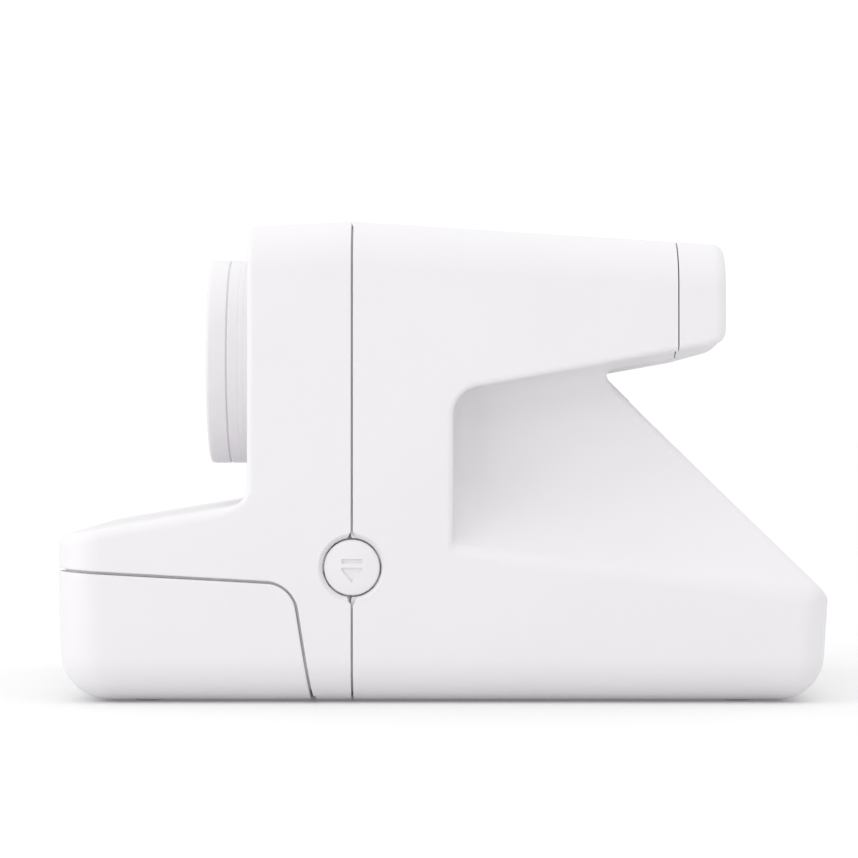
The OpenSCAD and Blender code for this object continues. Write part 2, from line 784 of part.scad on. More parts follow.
// Trapezoid of front-silvered glass, parallel to the sloping back
module main_mirror() {
    low = 37.2;
    high = 17.4;
    color([0.85, 0.87, 0.9]) translate([0, mirror_sum / 2, mirror_sum / 2]) rotate([-45, 0, 0])
        linear_extrude(1.1) polygon([[-low, 19], [low, 19], [high, -55], [-high, -55]]);
}

// Hook that pushes the spent picture's back edge towards the rollers
module film_pick() {
    x = -pack_w / 2;
    y = pack_back_y;
    color(steel) {
        box([x - 2.6, y - 16, pick_z - 1], [x - 1.7, y - 0.2, pick_z + 1]);
        box([x - 2.6, y - 1, pick_z - 1], [x + 0.2, y - 0.2, pick_z + 1]);
        box([x - 5, y - 15.4, pick_z - 0.9], [x - 1.7, y - 14.6, pick_z + 0.9]);
    }
}

module pick_spring() {
    x = -pack_w / 2 - 4.1;
    color(steel) translate([x, pack_back_y - 14.5, pick_z]) rotate([-90, 0, 0]) coil(0.85, 0.2, 8, 14, 10);
}

// ---- gear train ------------------------------------------------------------

// Points of one involute tooth flank pair, on pitch radius r
function involute(rb, r) = let (t = sqrt(max(0, r * r / rb / rb - 1))) t * 180 / PI - atan(t);
function tooth(n, k, slack) =
    let (rp = gear_m * n / 2, rb = rp * cos(20), ra = rp + 0.92 * gear_m, rf = rp - 1.15 * gear_m)
    let (half = 90 / n - slack / 2 / rp * 180 / PI + involute(rb, rp), r0 = max(rb, rf), a0 = 360 * k / n)
    let (radii = [for (i = [0:4]) r0 + (ra - r0) * i / 4])
    concat(
        [polar(rf, a0 - half)],
        [for (r = radii) polar(r, a0 - half + involute(rb, r))],
        [for (i = [4:-1:0]) polar(radii[i], a0 + half - involute(rb, radii[i]))],
        [polar(rf, a0 + half)]);

module gear(n, x0, x1, at, bore, turn) {
    translate([x0, at.x, at.y]) multmatrix([[0, 0, 1, 0], [1, 0, 0, 0], [0, 1, 0, 0], [0, 0, 0, 1]])
        linear_extrude(x1 - x0) difference() {
            rotate(turn) polygon([for (k = [0:n - 1]) each tooth(n, k, backlash)]);
            circle(r = bore);
        }
}

// Turns that put each pair in mesh: a tooth of one in the middle of a gap of the other
turn_roller = line_roller;
turn_transfer = line_roller + 180 + 180 / teeth_transfer;
turn_small = line_transfer + 180 + 180 / teeth_small + (line_transfer - turn_transfer) * teeth_transfer / teeth_small;
turn_wheel = line_motor;
turn_motor = line_motor + 180 + 180 / teeth_small;

axle_r = 1;

module roller_gear() {
    color([0.85, 0.85, 0.8]) gear(teeth_roller, gear_layer_a, gear_layer_a + gear_w, lower_axis, shaft_r, turn_roller);
}

module transfer_gear() {
    color([0.85, 0.85, 0.8]) gear(teeth_transfer, gear_layer_a, gear_layer_a + gear_w, transfer_axis, axle_r + fit, turn_transfer);
}

module reduction_gear() {
    color([0.85, 0.85, 0.8]) {
        gear(teeth_small, gear_layer_a, gear_layer_b + 0.1, reduction_axis, axle_r + fit, turn_small);
        gear(teeth_wheel, gear_layer_b, gear_layer_b + gear_w, reduction_axis, axle_r + fit, turn_wheel);
    }
}

module motor_pinion() {
    color([0.8, 0.65, 0.3]) {
        gear(teeth_small, gear_layer_b, gear_layer_b + gear_w, motor_axis, axle_r, turn_motor);
        rod_x(gear_layer_b, -44, axle_r, motor_axis);
    }
}

// Plate that carries the fixed axles, with a seat for the motor
module gear_plate() {
    color(black) difference() {
        along_x(-47.2, -46.2) polygon(rounded([
            [-36, 32, 2], [-36, 23, 2], [-19, 23, 2], [-11, 34, 3], [-11, 58, 3], [-27, 58, 3], [-30, 40, 3],
        ]));
        rod_x(-48, -45, 2.6, motor_axis);
    }
    color(steel) for (a = [transfer_axis, reduction_axis]) {
        rod_x(-53, -47.1, axle_r, a);
        rod_x(-53.5, -52.6, axle_r + 0.8, a);
    }
}

module drive_motor() {
    color([0.6, 0.6, 0.62]) difference() {
        rod_x(-46.1, -31.2, 7.5, motor_axis);
        rod_x(-47, -43.5, axle_r + fit, motor_axis);
    }
    color(black) rod_x(-31.3, -30.2, 4, motor_axis);
}

// ---- film door -------------------------------------------------------------

module film_door() {
    color(white) difference() {
        intersection() {
            difference() {
                envelope(0, 0);
                envelope(wall, 0);
            }
            door_zone(-gap / 2);
        }
        picture_slot();
        rod_x(-60, 60, knuckle_r + 0.15, hinge);
        box([-60, hinge.x, -1], [60, hinge.x + 5, hinge.y]);
    }
    color(white) for (s = [-1, 1]) difference() {
        union() {
            rod_x(s * 22 - 17.5, s * 22 + 17.5, knuckle_r, hinge);
            box([s * 22 - 17.5, hinge.x - 2.4, hinge.y - 1.1], [s * 22 + 17.5, hinge.x - 0.5, hinge.y + 0.6]);
        }
        rod_x(-60, 60, hinge_pin_r + fit, hinge);
    }
}

// Two thin rubber pads at y; the camera stands on four of them
module pads(y) {
    color([0.75, 0.75, 0.75]) both_sides() translate([40, y, 0]) linear_extrude(base_z) rounded_rect(12, 5, 2.4);
}

module door_feet() {
    pads(-58);
}

module rear_feet() {
    pads(58);
}

// Black inner frame: roller plates, film guide, slot lip and the catch for the latch
module door_frame() {
    z0 = base_z + wall;
    foot = z0 + 0.3;
    color(black) {
        for (s = [-1, 1]) difference() {
            along_x(s > 0 ? frame_in : -frame_in - plate_t, s > 0 ? frame_in + plate_t : -frame_in)
                polygon(rounded([
                    [-67.5, foot, 6.5], [-29.6, foot, 0], [-31.5, 17.5, 2], [-37.2, 19, 0], [-37.2, 33, 1.5],
                    [-49, 33, 1.5], [-50, 22, 0], [-67.5, 22.5, 1.5],
                ], 4));
            rod_x(-60, 60, shaft_r + 1, lower_axis);
            translate([0, upper_axis.x, upper_axis.y]) box([-60, -2.6, -3.4], [60, 2.6, 5.7]);
        }
        // cross members: a low tie bar and the sloping film guide
        box([-frame_in - 0.1, -56, z0], [frame_in + 0.1, -51, z0 + 2.5]);
        difference() {
            along_x(-frame_in - 0.1, frame_in + 0.1)
                polygon([[-49.4, 17], [-49.4, 18.5], [-72.6, 21.9], [-72.6, 20.4]]);
            for (k = [-4:4]) box([k * 9.5 - 2.8, -69, 10], [k * 9.5 + 2.8, -53, 30]);
        }
        // lip below the picture slot
        along_x(-slot_w / 2 + 1.5, slot_w / 2 - 1.5)
            polygon([[nose_y + wall + 0.1, 20.6], [nose_y + wall + 0.1, slot_z.x], [-71.4, slot_z.x - 0.5], [-71.4, 20.6]]);
        // catch that the latch holds
        box([frame_in, -37.3, 24], [frame_in + plate_t, -29, 26.5]);
        box([catch_x, -30, 24], [frame_in + 0.1, -29, 26.5]);
    }
}

module roller(at, x_short) {
    rod_x(-roller_l / 2, roller_l / 2, roller_r, at);
    rod_x(x_short, 48.6, shaft_r, at);
}

module lower_roller() {
    color(steel) roller(lower_axis, gear_layer_a);
}

module upper_roller() {
    color(steel) roller(upper_axis, -48.6);
}

// Flanged bushes for the lower roller, fixed in the frame
module roller_bushes() {
    color([0.8, 0.65, 0.3]) both_sides() difference() {
        union() {
            rod_x(frame_in - 0.1, frame_in + plate_t, shaft_r + 1, lower_axis);
            rod_x(frame_in - 0.7, frame_in, shaft_r + 1.7, lower_axis);
        }
        rod_x(frame_in - 2, frame_in + 4, shaft_r + fit, lower_axis);
    }
}

// Blocks that ride in the slots of the frame and carry the upper roller
module upper_bearings() {
    color([0.9, 0.88, 0.8]) both_sides() difference() {
        translate([0, upper_axis.x, upper_axis.y])
            box([frame_in - 0.3, -2.55, -2.9], [frame_in + plate_t, 2.55, 2.7]);
        rod_x(frame_in - 2, frame_in + 4, shaft_r + fit, upper_axis);
    }
}

module roller_springs() {
    color(steel) both_sides()
        translate([frame_in + 1, upper_axis.x, upper_axis.y + 2.75]) coil(0.75, 0.2, 4, 2.9, 10);
}

// Rolled light shield above the slot, drawn as a coil with its free tongue
module film_shield() {
    centre = [-58, 30.6];
    r = 2.4;
    turns = 1.75;
    t = 0.3;
    steps = 28;
    function curl(k, off) = let (a = -90 + 360 * turns * k / steps) centre + polar(r - 0.55 * turns * k / steps + off, a);
    color(black) along_x(-43, 43) polygon(concat(
        [[-70.6, 28.6], [-70.6, 28.9]],
        [[-60, centre.y - r + t / 2]],
        [for (k = [0:steps]) curl(k, t / 2 - t)],
        [for (k = [steps:-1:0]) curl(k, t / 2)],
        [[-60, centre.y - r - t / 2]]));
    color(black) both_sides() box([43.2, -60, 28.6], [45, -56, 31.5]);
}

// ---- door release ----------------------------------------------------------

module door_button() {
    x1 = half_w - 0.35;
    color(white) difference() {
        union() {
            rod_x(x1 - 2.6, x1, release_r, release);
            rod_x(x1 - 3.4, x1 - 2.5, release_r + 1, release);
            rod_x(x1 - 7.5, x1 - 3.3, 1.6, release);
        }
        // engraved eject mark: a bar above a triangle that points down
        translate([x1 - 0.25, release.x, release.y]) along_x(0, 1) {
            translate([0, 1.1]) square([4, 0.8], center = true);
            polygon([[-2, 0], [2, 0], [0.15, -2.6], [-0.15, -2.6]]);
        }
    }
}

module latch_spring() {
    color(steel) translate([tab_x + 1.05, release.x, release.y]) rotate([0, 90, 0])
        coil(2, 0.35, 4, latch_x - 1.25 - tab_x - 1.05);
}

// Latch plate behind the button; it moves in with the button, and its nose leaves the door's catch
module latch_slide() {
    x = latch_x;
    nose = catch_x - 0.3;
    color([0.3, 0.3, 0.32]) {
        box([x - 1.2, release.x - 3, release.y - 3], [x, release.x + 3, release.y + 3]);
        box([nose - 1.4, release.x - 4, release.y - 2], [x, release.x - 2.8, release.y + 2]);
        box([nose - 1.4, release.x - 14, release.y - 2], [nose - 0.2, release.x - 3, release.y]);
        box([nose - 1.4, release.x - 14, release.y - 2], [nose, release.x - 12.8, release.y]);
    }
}

// ---- fasteners -------------------------------------------------------------

module case_screws() {
    color(steel) for (s = screw_spots) difference() {
        union() {
            rod_y(seam_y - 7.5, seam_y + 9.3, 0.8, s);
            rod_y(seam_y + 9.2, seam_y + 10.6, 1.5, s);
        }
        translate([s.x, seam_y + 10.8, s.y]) for (a = [0, 90]) rotate([0, a, 0]) cube([2, 1.2, 0.5], center = true);
    }
}

front_shell();
rear_shell();
rear_cap();
lens_barrel();
lens_ring();
lens_cone();
front_lens();
shutter_housing();
shutter_solenoid();
solenoid_plunger();
shutter_blade_upper();
shutter_blade_lower();
focus_disc();
flash_window();
flash_reflector();
flash_tube();
flash_capacitor();
viewfinder_window();
viewfinder_tunnel();
eyepiece_bezel();
eyepiece_lens();
sensor_window();
shutter_button();
shutter_button_spring();
shutter_switch();
power_button();
flash_button();
timer_button();
counter_display();
display_window();
control_board();
main_board();
battery();
usb_socket();
film_chamber();
dark_box();
main_mirror();
film_pick();
pick_spring();
drive_motor();
motor_pinion();
reduction_gear();
transfer_gear();
gear_plate();
hinge_pin();
film_door();
door_feet();
door_frame();
lower_roller();
roller_gear();
roller_bushes();
upper_roller();
upper_bearings();
roller_springs();
film_shield();
door_button();
latch_spring();
latch_slide();
case_screws();
rear_feet();
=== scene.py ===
"""Looks of the box-type instant camera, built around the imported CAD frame.

Shapes are worked out in millimetres and turned into metres when a mesh is made.
-Y is the way the lens looks, +X the side with the door button, +Z is up.
"""
import json
import math

import bmesh
import bpy
import numpy as np
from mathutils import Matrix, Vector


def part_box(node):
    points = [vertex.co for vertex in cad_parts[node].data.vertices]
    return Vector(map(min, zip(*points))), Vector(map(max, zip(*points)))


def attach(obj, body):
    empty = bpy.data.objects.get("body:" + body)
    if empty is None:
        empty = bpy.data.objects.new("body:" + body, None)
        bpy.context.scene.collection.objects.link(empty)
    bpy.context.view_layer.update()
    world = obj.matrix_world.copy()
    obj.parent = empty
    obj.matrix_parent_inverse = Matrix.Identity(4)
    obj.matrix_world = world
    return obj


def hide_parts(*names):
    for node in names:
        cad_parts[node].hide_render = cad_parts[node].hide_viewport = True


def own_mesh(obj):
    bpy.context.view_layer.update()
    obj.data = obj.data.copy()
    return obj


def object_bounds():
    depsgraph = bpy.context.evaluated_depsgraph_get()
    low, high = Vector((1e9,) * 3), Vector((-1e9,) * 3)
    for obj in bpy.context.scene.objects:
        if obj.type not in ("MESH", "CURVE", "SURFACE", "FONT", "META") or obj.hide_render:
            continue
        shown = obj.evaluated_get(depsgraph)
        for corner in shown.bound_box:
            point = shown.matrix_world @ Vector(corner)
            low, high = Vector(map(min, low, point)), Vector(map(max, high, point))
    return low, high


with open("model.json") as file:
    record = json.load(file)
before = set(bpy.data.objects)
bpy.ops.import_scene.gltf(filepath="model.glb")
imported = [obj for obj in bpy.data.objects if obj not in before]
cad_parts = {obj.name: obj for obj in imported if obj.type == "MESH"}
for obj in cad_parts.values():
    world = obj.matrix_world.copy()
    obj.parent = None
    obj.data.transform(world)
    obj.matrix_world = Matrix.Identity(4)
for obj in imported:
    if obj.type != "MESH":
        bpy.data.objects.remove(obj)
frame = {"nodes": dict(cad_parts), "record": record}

import openvdb

MM = 0.001
CAD_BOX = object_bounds()


def node_box(name):
    """Lowest and highest corner of a CAD node, in millimetres."""
    low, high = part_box(name)
    return np.array(low) / MM, np.array(high) / MM


def node_centre(name):
    """Middle of a CAD node's box, in millimetres."""
    low, high = node_box(name)
    return (low + high) / 2


# ---- sizes taken from the frame --------------------------------------------

LOW, HIGH = np.array(CAD_BOX[0]) / MM, np.array(CAD_BOX[1]) / MM
HALF_W = HIGH[0]
NOSE_Y, TAIL_Y = LOW[1], HIGH[1]
ROOF_Z = node_box("front_shell")[1][2]
BASE_Z = node_box("door_feet")[1][2]
# The seam between front and rear housing, the film door's line and the seam of the hump's cap
SEAM_GAP, DOOR_GAP, CAP_GAP = 0.4, 0.5, 0.2
SEAM_OFFSET, CAP_OFFSET = 0.25, 0.12
SEAM_Y = node_box("front_shell")[1][1] + SEAM_OFFSET
CAP_Y = node_box("rear_cap")[0][1] - CAP_OFFSET
CAP_FOOT_Z = 59.6
REAR_Y = node_box("rear_cap")[1][1]
# The side walls lean in by SIDE_LEAN over SIDE_RISE above SIDE_FOOT_Z
SIDE_LEAN, SIDE_FOOT_Z, SIDE_RISE = 1.1, 24.0, 70.0
TAIL_FOOT_Z, TAIL_LEAN = 20.9, 0.065
NOSE_FOOT_Z, NOSE_CURVE = 20.0, 0.0035
ROOF_R, TAIL_R, CHIN_R, HUMP_R, NOTCH_R = 9.0, 5.6, 3.0, 4.0, 2.0
# Radius of the edges along the side walls: at the base, on the chin and on the hump
BASE_EDGE_R, CHIN_EDGE_R, HUMP_EDGE_R = 8.5, 2.2, 2.0
WALL = 2.0
LIP_DEPTH, LIP_REACH, LIP_OVERLAP = 1.3, 1.8, 0.2
CORNER_R = 0.45
# Stands for "nowhere near" in a distance field
FAR = 40.0

LENS_Z = node_centre("lens_ring")[2]
BARREL_R = node_box("lens_ring")[1][0]
RIM_Y, GROOVE_Y = node_box("lens_ring")[0][1], node_box("lens_ring")[1][1] - 0.2
FACE_Y = node_box("flash_window")[0][1] - 0.2

BUTTON = node_centre("door_button")
BUTTON_R, BUTTON_GAP = 5.45, 0.27
# Ring round the button: how wide its chamfer is, and how deep
CHAMFER, CHAMFER_DROP = 0.85, 1.1
SHUTTER = node_centre("shutter_button")
HINGE = node_centre("hinge_pin")
HINGE_ROOM_R, HINGE_ROOM_HALF = 1.95, 51.0
KNUCKLE_R, KNUCKLE_HALF, KNUCKLE_X = 1.25, 17.5, 22.0
USB = np.array([-HALF_W, 34.0, 13.0])
STRAP = np.array([37.6, 39.5, 56.3])
STRAP_BAR_R, STRAP_BAR_HALF, STRAP_DEPTH = 1.1, 4.8, 4.0
SHUTTER_HOLE_R, KEY_HOLE_R, LENS_LIP = 5.5, 4.25, 1.7
# Width, height and corner radius of each opening in the front face and in the hump's rear face
WINDOWS = (
    ("flash_window", 24.0, 15.0, 2.5),
    ("viewfinder_window", 17.0, 14.0, 2.5),
    ("sensor_window", 11.0, 5.4, 2.6),
)
REAR_WINDOWS = (("display_window", 13.0, 9.0, 1.5), ("eyepiece_bezel", 22.0, 14.0, 4.0))
KEYS = ("power_button", "flash_button", "timer_button")

# Lines of the side outline, as height against length
CHIN_Y, CHIN_Z, CHIN_RISE = -72.0, 33.1, 0.169
DOOR_TOP, DOOR_TOP_RISE = 21.75, -0.0557
DOOR_FOOT_Y, DOOR_FOOT_LEAN, DOOR_CORNER_R = -25.35, 0.16, 4.8
ROOF_FALL_FRONT, ROOF_FALL_REAR = 0.049, 0.0635
HUMP_Z, HUMP_RISE = 68.8, 0.178
SLOPE_SUM = 95.8
SLOT_Z, SLOT_W = (22.4, 27.7), 94.0
RECESS_Y, RECESS_DEPTH = 2.1, 13.5
RECESS_FRAME_R, RECESS_RIM_R = 4.5, 1.0
# Share of the recess's height over which its floor curves, before it runs level
RECESS_CURVE = 0.68
RECESS_TOP, RECESS_BASE = (60.3, 0.178), (30.2, -0.128)


# ---- distance fields -------------------------------------------------------

def soft_max(a, b, r):
    """The greater of two distances, with the corner between them rounded to radius r."""
    flat = np.minimum(np.maximum(a, b), -r)
    return flat + np.hypot(np.maximum(a + r, 0), np.maximum(b + r, 0))


def soft_min(a, b, r):
    """The lesser of two distances, with the corner between them rounded to radius r."""
    return -soft_max(-a, -b, r)


def blend(value, start, end):
    """0 before start, 1 after end and smooth between them."""
    t = np.clip((value - start) / (end - start), 0, 1)
    return t * t * (3 - 2 * t)


def round_slot(u, v, width, height, r):
    """Distance outside a rounded rectangle."""
    a, b = np.abs(u) - width / 2 + r, np.abs(v) - height / 2 + r
    return np.hypot(np.maximum(a, 0), np.maximum(b, 0)) + np.minimum(np.maximum(a, b), 0) - r


def line_distance(y, z, start, rise):
    """Distance above the line z = start + rise * y."""
    return (z - start - rise * y) / math.hypot(1, rise)


def edge_radius(y, z):
    """Radius between the side walls and whatever face meets them."""
    chin = 1 - blend(y, FACE_Y - 7, FACE_Y - 1)
    rear = blend(y, -10, 20)
    hump = blend(z, 58, 66)
    back = 0.8 + (HUMP_EDGE_R - 0.8) * hump
    upper = (1 - chin) * (1 - rear) + chin * CHIN_EDGE_R + rear * back
    low = 1 - blend(z, 9, 17)
    return upper + (BASE_EDGE_R - upper) * low


def recess(ax, y, z):
    """The hand recess in one side: a concave sweep below the hump. Negative in its air."""
    low = RECESS_BASE[0] + RECESS_BASE[1] * y
    high = RECESS_TOP[0] + RECESS_TOP[1] * y
    share = (z - low) / (high - low)
    turn = math.pi / 2 / RECESS_CURVE
    angle = turn * np.clip(share, 0, RECESS_CURVE)
    steep = RECESS_DEPTH * turn / (high - low)
    inside = RECESS_DEPTH * np.sin(angle)
    depth = np.where(share < 0, RECESS_DEPTH * turn * share, inside)
    slant = steep * np.cos(angle)
    wall = (HALF_W - depth - ax) / np.hypot(1, slant)
    frame_edge = soft_max(RECESS_Y - y, line_distance(y, z, *RECESS_TOP), RECESS_FRAME_R)
    return soft_max(frame_edge, wall, 0.6 + 4.9 * blend(share, 0.0, 0.4))


def housing(x, y, z):
    """Distance outside the camera's outer form."""
    ax = np.abs(x)
    back = np.maximum(y - SEAM_Y, 0)
    front = np.maximum(SEAM_Y - y, 0)
    roof = z - ROOF_Z + ROOF_FALL_REAR * back + ROOF_FALL_FRONT * front
    side = ax - HALF_W + SIDE_LEAN * np.maximum(z - SIDE_FOOT_Z, 0) / SIDE_RISE
    nose = NOSE_Y + NOSE_CURVE * np.maximum(NOSE_FOOT_Z - z, 0) ** 2 - y
    tail = y - TAIL_Y + TAIL_LEAN * np.maximum(TAIL_FOOT_Z - z, 0)
    body = soft_max(soft_max(soft_max(roof, side, ROOF_R), nose, ROOF_R), tail, TAIL_R)
    chin = soft_max(y - FACE_Y, -line_distance(y - CHIN_Y, z, CHIN_Z, CHIN_RISE), CHIN_R)
    slope = (y + z - SLOPE_SUM) / math.sqrt(2)
    under = -line_distance(y - REAR_Y, z, HUMP_Z, HUMP_RISE)
    rear = soft_min(slope, soft_max(y - REAR_Y, under, HUMP_R), NOTCH_R)
    profile = np.maximum(np.maximum(BASE_Z - z, -chin), rear)
    solid = soft_max(body, profile, edge_radius(y, z))
    return soft_max(solid, -recess(ax, y, z), RECESS_RIM_R)


def door_zone(y, z):
    """Distance inside the film door's part of the housing, seen from the side."""
    top = line_distance(y, z, DOOR_TOP, DOOR_TOP_RISE)
    foot = (y - DOOR_FOOT_Y + DOOR_FOOT_LEAN * (z - 0.4)) / math.hypot(1, DOOR_FOOT_LEAN)
    return -soft_max(top, foot, DOOR_CORNER_R)


def picture_slot(x, y, z):
    """Outside the slot in the nose that the picture comes out of."""
    low, high = SLOT_Z
    hole = round_slot(x, z - (low + high) / 2, SLOT_W, high - low, 2.2)
    return np.where(y < NOSE_Y + 6, hole, FAR)


def release_hole(x, y, z):
    """Outside the ring around the door button, which is on the +X side only."""
    return np.where(x > 0, np.hypot(y - BUTTON[1], z - BUTTON[2]) - BUTTON_R - BUTTON_GAP, FAR)


def face_holes(x, y, z):
    """Openings in the front face: lens, flash, viewfinder, sensor and shutter button."""
    hole = np.hypot(x, z - LENS_Z) - BARREL_R + LENS_LIP
    for name, width, height, r in WINDOWS:
        spot = node_centre(name)
        hole = np.minimum(hole, round_slot(x - spot[0], z - spot[2], width, height, r))
    button = np.hypot(x - SHUTTER[0], z - SHUTTER[2]) - SHUTTER_HOLE_R
    hole = np.minimum(hole, button)
    return np.where((y < FACE_Y + 3) & (z > 42), hole, FAR)


def hump_holes(x, y, z):
    """Openings in the hump's rear face: three keys, the display and the eyepiece."""
    hole = np.full(np.broadcast(x, z).shape, FAR)
    for name in KEYS:
        spot = node_centre(name)
        hole = np.minimum(hole, np.hypot(x - spot[0], z - spot[2]) - KEY_HOLE_R)
    for name, width, height, r in REAR_WINDOWS:
        spot = node_centre(name)
        hole = np.minimum(hole, round_slot(x - spot[0], z - spot[2], width, height, r))
    return np.where(y > REAR_Y - 3, hole, FAR)


def strap_pockets(x, y, z):
    """Outside the two pockets in the sloping back that the strap bars cross."""
    along = (y - z - STRAP[1] + STRAP[2]) / math.sqrt(2)
    hole = round_slot(np.abs(x) - STRAP[0], along, 8.4, 8.0, 1.0)
    return np.where((y > 30) & (z > 40), hole, FAR)


def usb_holes(x, y, z):
    """Outside the charging socket's opening and its lamp, on the -X side."""
    hole = round_slot(y - USB[1], z - USB[2], 9.0, 3.6, 1.2)
    lamp = np.hypot(y - USB[1] - 8, z - USB[2]) - 0.9
    return np.where(x < 0, np.minimum(hole, lamp), FAR)


def all_of(*fields):
    """Material stays where every field is positive; corners between cuts are rounded a little."""
    total = fields[0]
    for field in fields[1:]:
        total = soft_min(total, field, CORNER_R)
    return total


def hinge_room(x, y, z):
    """Outside the room for the door's hinge barrels, which ends short of the side walls."""
    return np.maximum(np.hypot(y - HINGE[1], z - HINGE[2]) - HINGE_ROOM_R, np.abs(x) - HINGE_ROOM_HALF)


def front_region(x, y, z):
    """Inside the front housing's share of the outer form."""
    door = -door_zone(y, z) - DOOR_GAP / 2
    outline = all_of(SEAM_Y - SEAM_GAP / 2 - y, door, hinge_room(x, y, z))
    outline = np.minimum(outline, release_hole(x, y, z))
    return all_of(outline, picture_slot(x, y, z), face_holes(x, y, z))


def rear_region(x, y, z):
    """Inside the rear housing's share of the outer form."""
    cap = np.maximum(CAP_Y - CAP_GAP / 2 - y, CAP_FOOT_Z - z)
    outline = np.minimum(all_of(y - SEAM_Y - SEAM_GAP / 2, cap), release_hole(x, y, z))
    return all_of(outline, strap_pockets(x, y, z), usb_holes(x, y, z))


def cap_region(x, y, z):
    """Inside the share of the hump's end cap."""
    return all_of(np.minimum(y - CAP_Y - CAP_GAP / 2, z - CAP_FOOT_Z), hump_holes(x, y, z))


def door_region(x, y, z):
    """Inside the film door's share of the outer form."""
    return all_of(door_zone(y, z) - DOOR_GAP / 2, picture_slot(x, y, z))


def seam_lip(x, y, z):
    """Rebate of the rear housing behind the seam."""
    strip = np.minimum(y - SEAM_Y + LIP_OVERLAP, SEAM_Y + LIP_REACH - y)
    return np.minimum(strip, release_hole(x, y, z))


def door_lip(x, y, z):
    """Rebate of the front housing behind the film door's line."""
    zone = door_zone(y, z)
    strip = np.minimum(zone + LIP_REACH, LIP_OVERLAP - zone)
    return np.minimum(np.minimum(strip, hinge_room(x, y, z)), picture_slot(x, y, z))


# ---- surface meshes --------------------------------------------------------

def at(field, p):
    """The field's values at an array of points."""
    return field(p[:, 0], p[:, 1], p[:, 2])


def gradient(field, p, step=0.02):
    """The field's slope at an array of points."""
    return np.stack([
        (at(field, p + offset) - at(field, p - offset)) / (2 * step) for offset in np.eye(3) * step
    ], axis=1)


def unit(v):
    """Each row scaled to length 1."""
    return v / np.maximum(np.linalg.norm(v, axis=1, keepdims=True), 1e-9)


def settle(p, surface, level=0.0, keep=None, rounds=3):
    """Moves points onto the surface where it has the given level, and onto keep = 0 if that is given."""
    for _ in range(rounds):
        normal = gradient(surface, p)
        lift = (at(surface, p) - level) / np.maximum((normal ** 2).sum(axis=1), 0.2)
        p = p - np.clip(lift, -0.6, 0.6)[:, None] * normal
        if keep is not None:
            n = unit(normal)
            slide = gradient(keep, p)
            slide = slide - (slide * n).sum(axis=1, keepdims=True) * n
            reach = at(keep, p) / np.maximum((slide ** 2).sum(axis=1), 0.2)
            p = p - np.clip(reach, -0.6, 0.6)[:, None] * slide
    return p


def grid_lines(half, fine, coarse, middle):
    """Symmetric grid positions that are coarse within the middle and fine outside it."""
    outer = np.arange(middle, half + fine, fine)
    inner = np.linspace(-middle, middle, int(round(2 * middle / coarse)) + 1)[1:-1]
    return np.concatenate([-outer[::-1], inner, outer])


def sample_housing():
    """The outer form on a grid that is finer near the side walls, and the grid's positions."""
    x = grid_lines(HALF_W + 1.5, 0.75, 1.5, 42.0)
    y = np.arange(NOSE_Y - 1.7, TAIL_Y + 2.4, 0.75)
    z = np.arange(BASE_Z - 1.9, ROOF_Z + 2.4, 0.75)
    values = housing(x[:, None, None], y[None, :, None], z[None, None, :])
    volume = openvdb.FloatGrid(FAR)
    volume.copyFromArray(np.ascontiguousarray(values, dtype=np.float32))
    return volume, (x, y, z)


def level_surface(volume, lines, level, merge=0.0):
    """Triangle mesh of one level of the sampled housing, wound outwards."""
    points, triangles, quads = volume.convertToPolygons(isovalue=level, adaptivity=merge)
    tris = np.vstack([np.asarray(triangles).reshape(-1, 3), quads[:, [0, 1, 2]], quads[:, [0, 2, 3]]])
    tris = tris.astype(np.int64)
    verts = np.stack([
        np.interp(points[:, k], np.arange(len(lines[k])), lines[k]) for k in range(3)
    ], axis=1)
    verts = settle(verts, housing, level)
    a, b, c = verts[tris[:, 0]], verts[tris[:, 1]], verts[tris[:, 2]]
    if (np.cross(b - a, c - a) * gradient(housing, (a + b + c) / 3)).sum() < 0:
        tris = tris[:, ::-1]
    return verts, tris


def clip(verts, tris, keep, surface, level=0.0):
    """Cuts a mesh where keep turns negative. Returns vertices, triangles and the cut's edges."""
    near = at(keep, verts)
    value = np.where(np.abs(near) < 1e-5, 1e-5, near)
    inside = value > 0
    count = inside[tris].sum(axis=1)
    faces, links = [tris[count == 3]], []
    for kept in (1, 2):
        part = tris[count == kept]
        odd = inside[part] if kept == 1 else ~inside[part]
        turn = (np.argmax(odd, axis=1)[:, None] + np.arange(3)) % 3
        links.append(np.take_along_axis(part, turn, axis=1))
    corner = np.vstack(links)
    pairs = np.sort(np.vstack([corner[:, [0, 1]], corner[:, [0, 2]]]), axis=1)
    edges, where = np.unique(pairs, axis=0, return_inverse=True)
    where = where.reshape(-1) + len(verts)
    ab, ac = where[:len(corner)], where[len(corner):]
    one = len(links[0])
    faces.append(np.stack([corner[:one, 0], ab[:one], ac[:one]], axis=1))
    faces.append(np.stack([ab[one:], corner[one:, 1], corner[one:, 2]], axis=1))
    faces.append(np.stack([ab[one:], corner[one:, 2], ac[one:]], axis=1))
    rims = np.vstack([np.stack([ab[:one], ac[:one]], axis=1), np.stack([ac[one:], ab[one:]], axis=1)])
    share = value[edges[:, 0]] / (value[edges[:, 0]] - value[edges[:, 1]])
    fresh = verts[edges[:, 0]] + share[:, None] * (verts[edges[:, 1]] - verts[edges[:, 0]])
    fresh = settle(fresh, surface, level, keep)
    verts, faces = np.vstack([verts, fresh]), np.vstack(faces)
    used = np.unique(faces)
    order = np.full(len(verts), -1)
    order[used] = np.arange(len(used))
    return verts[used], order[faces], order[rims]


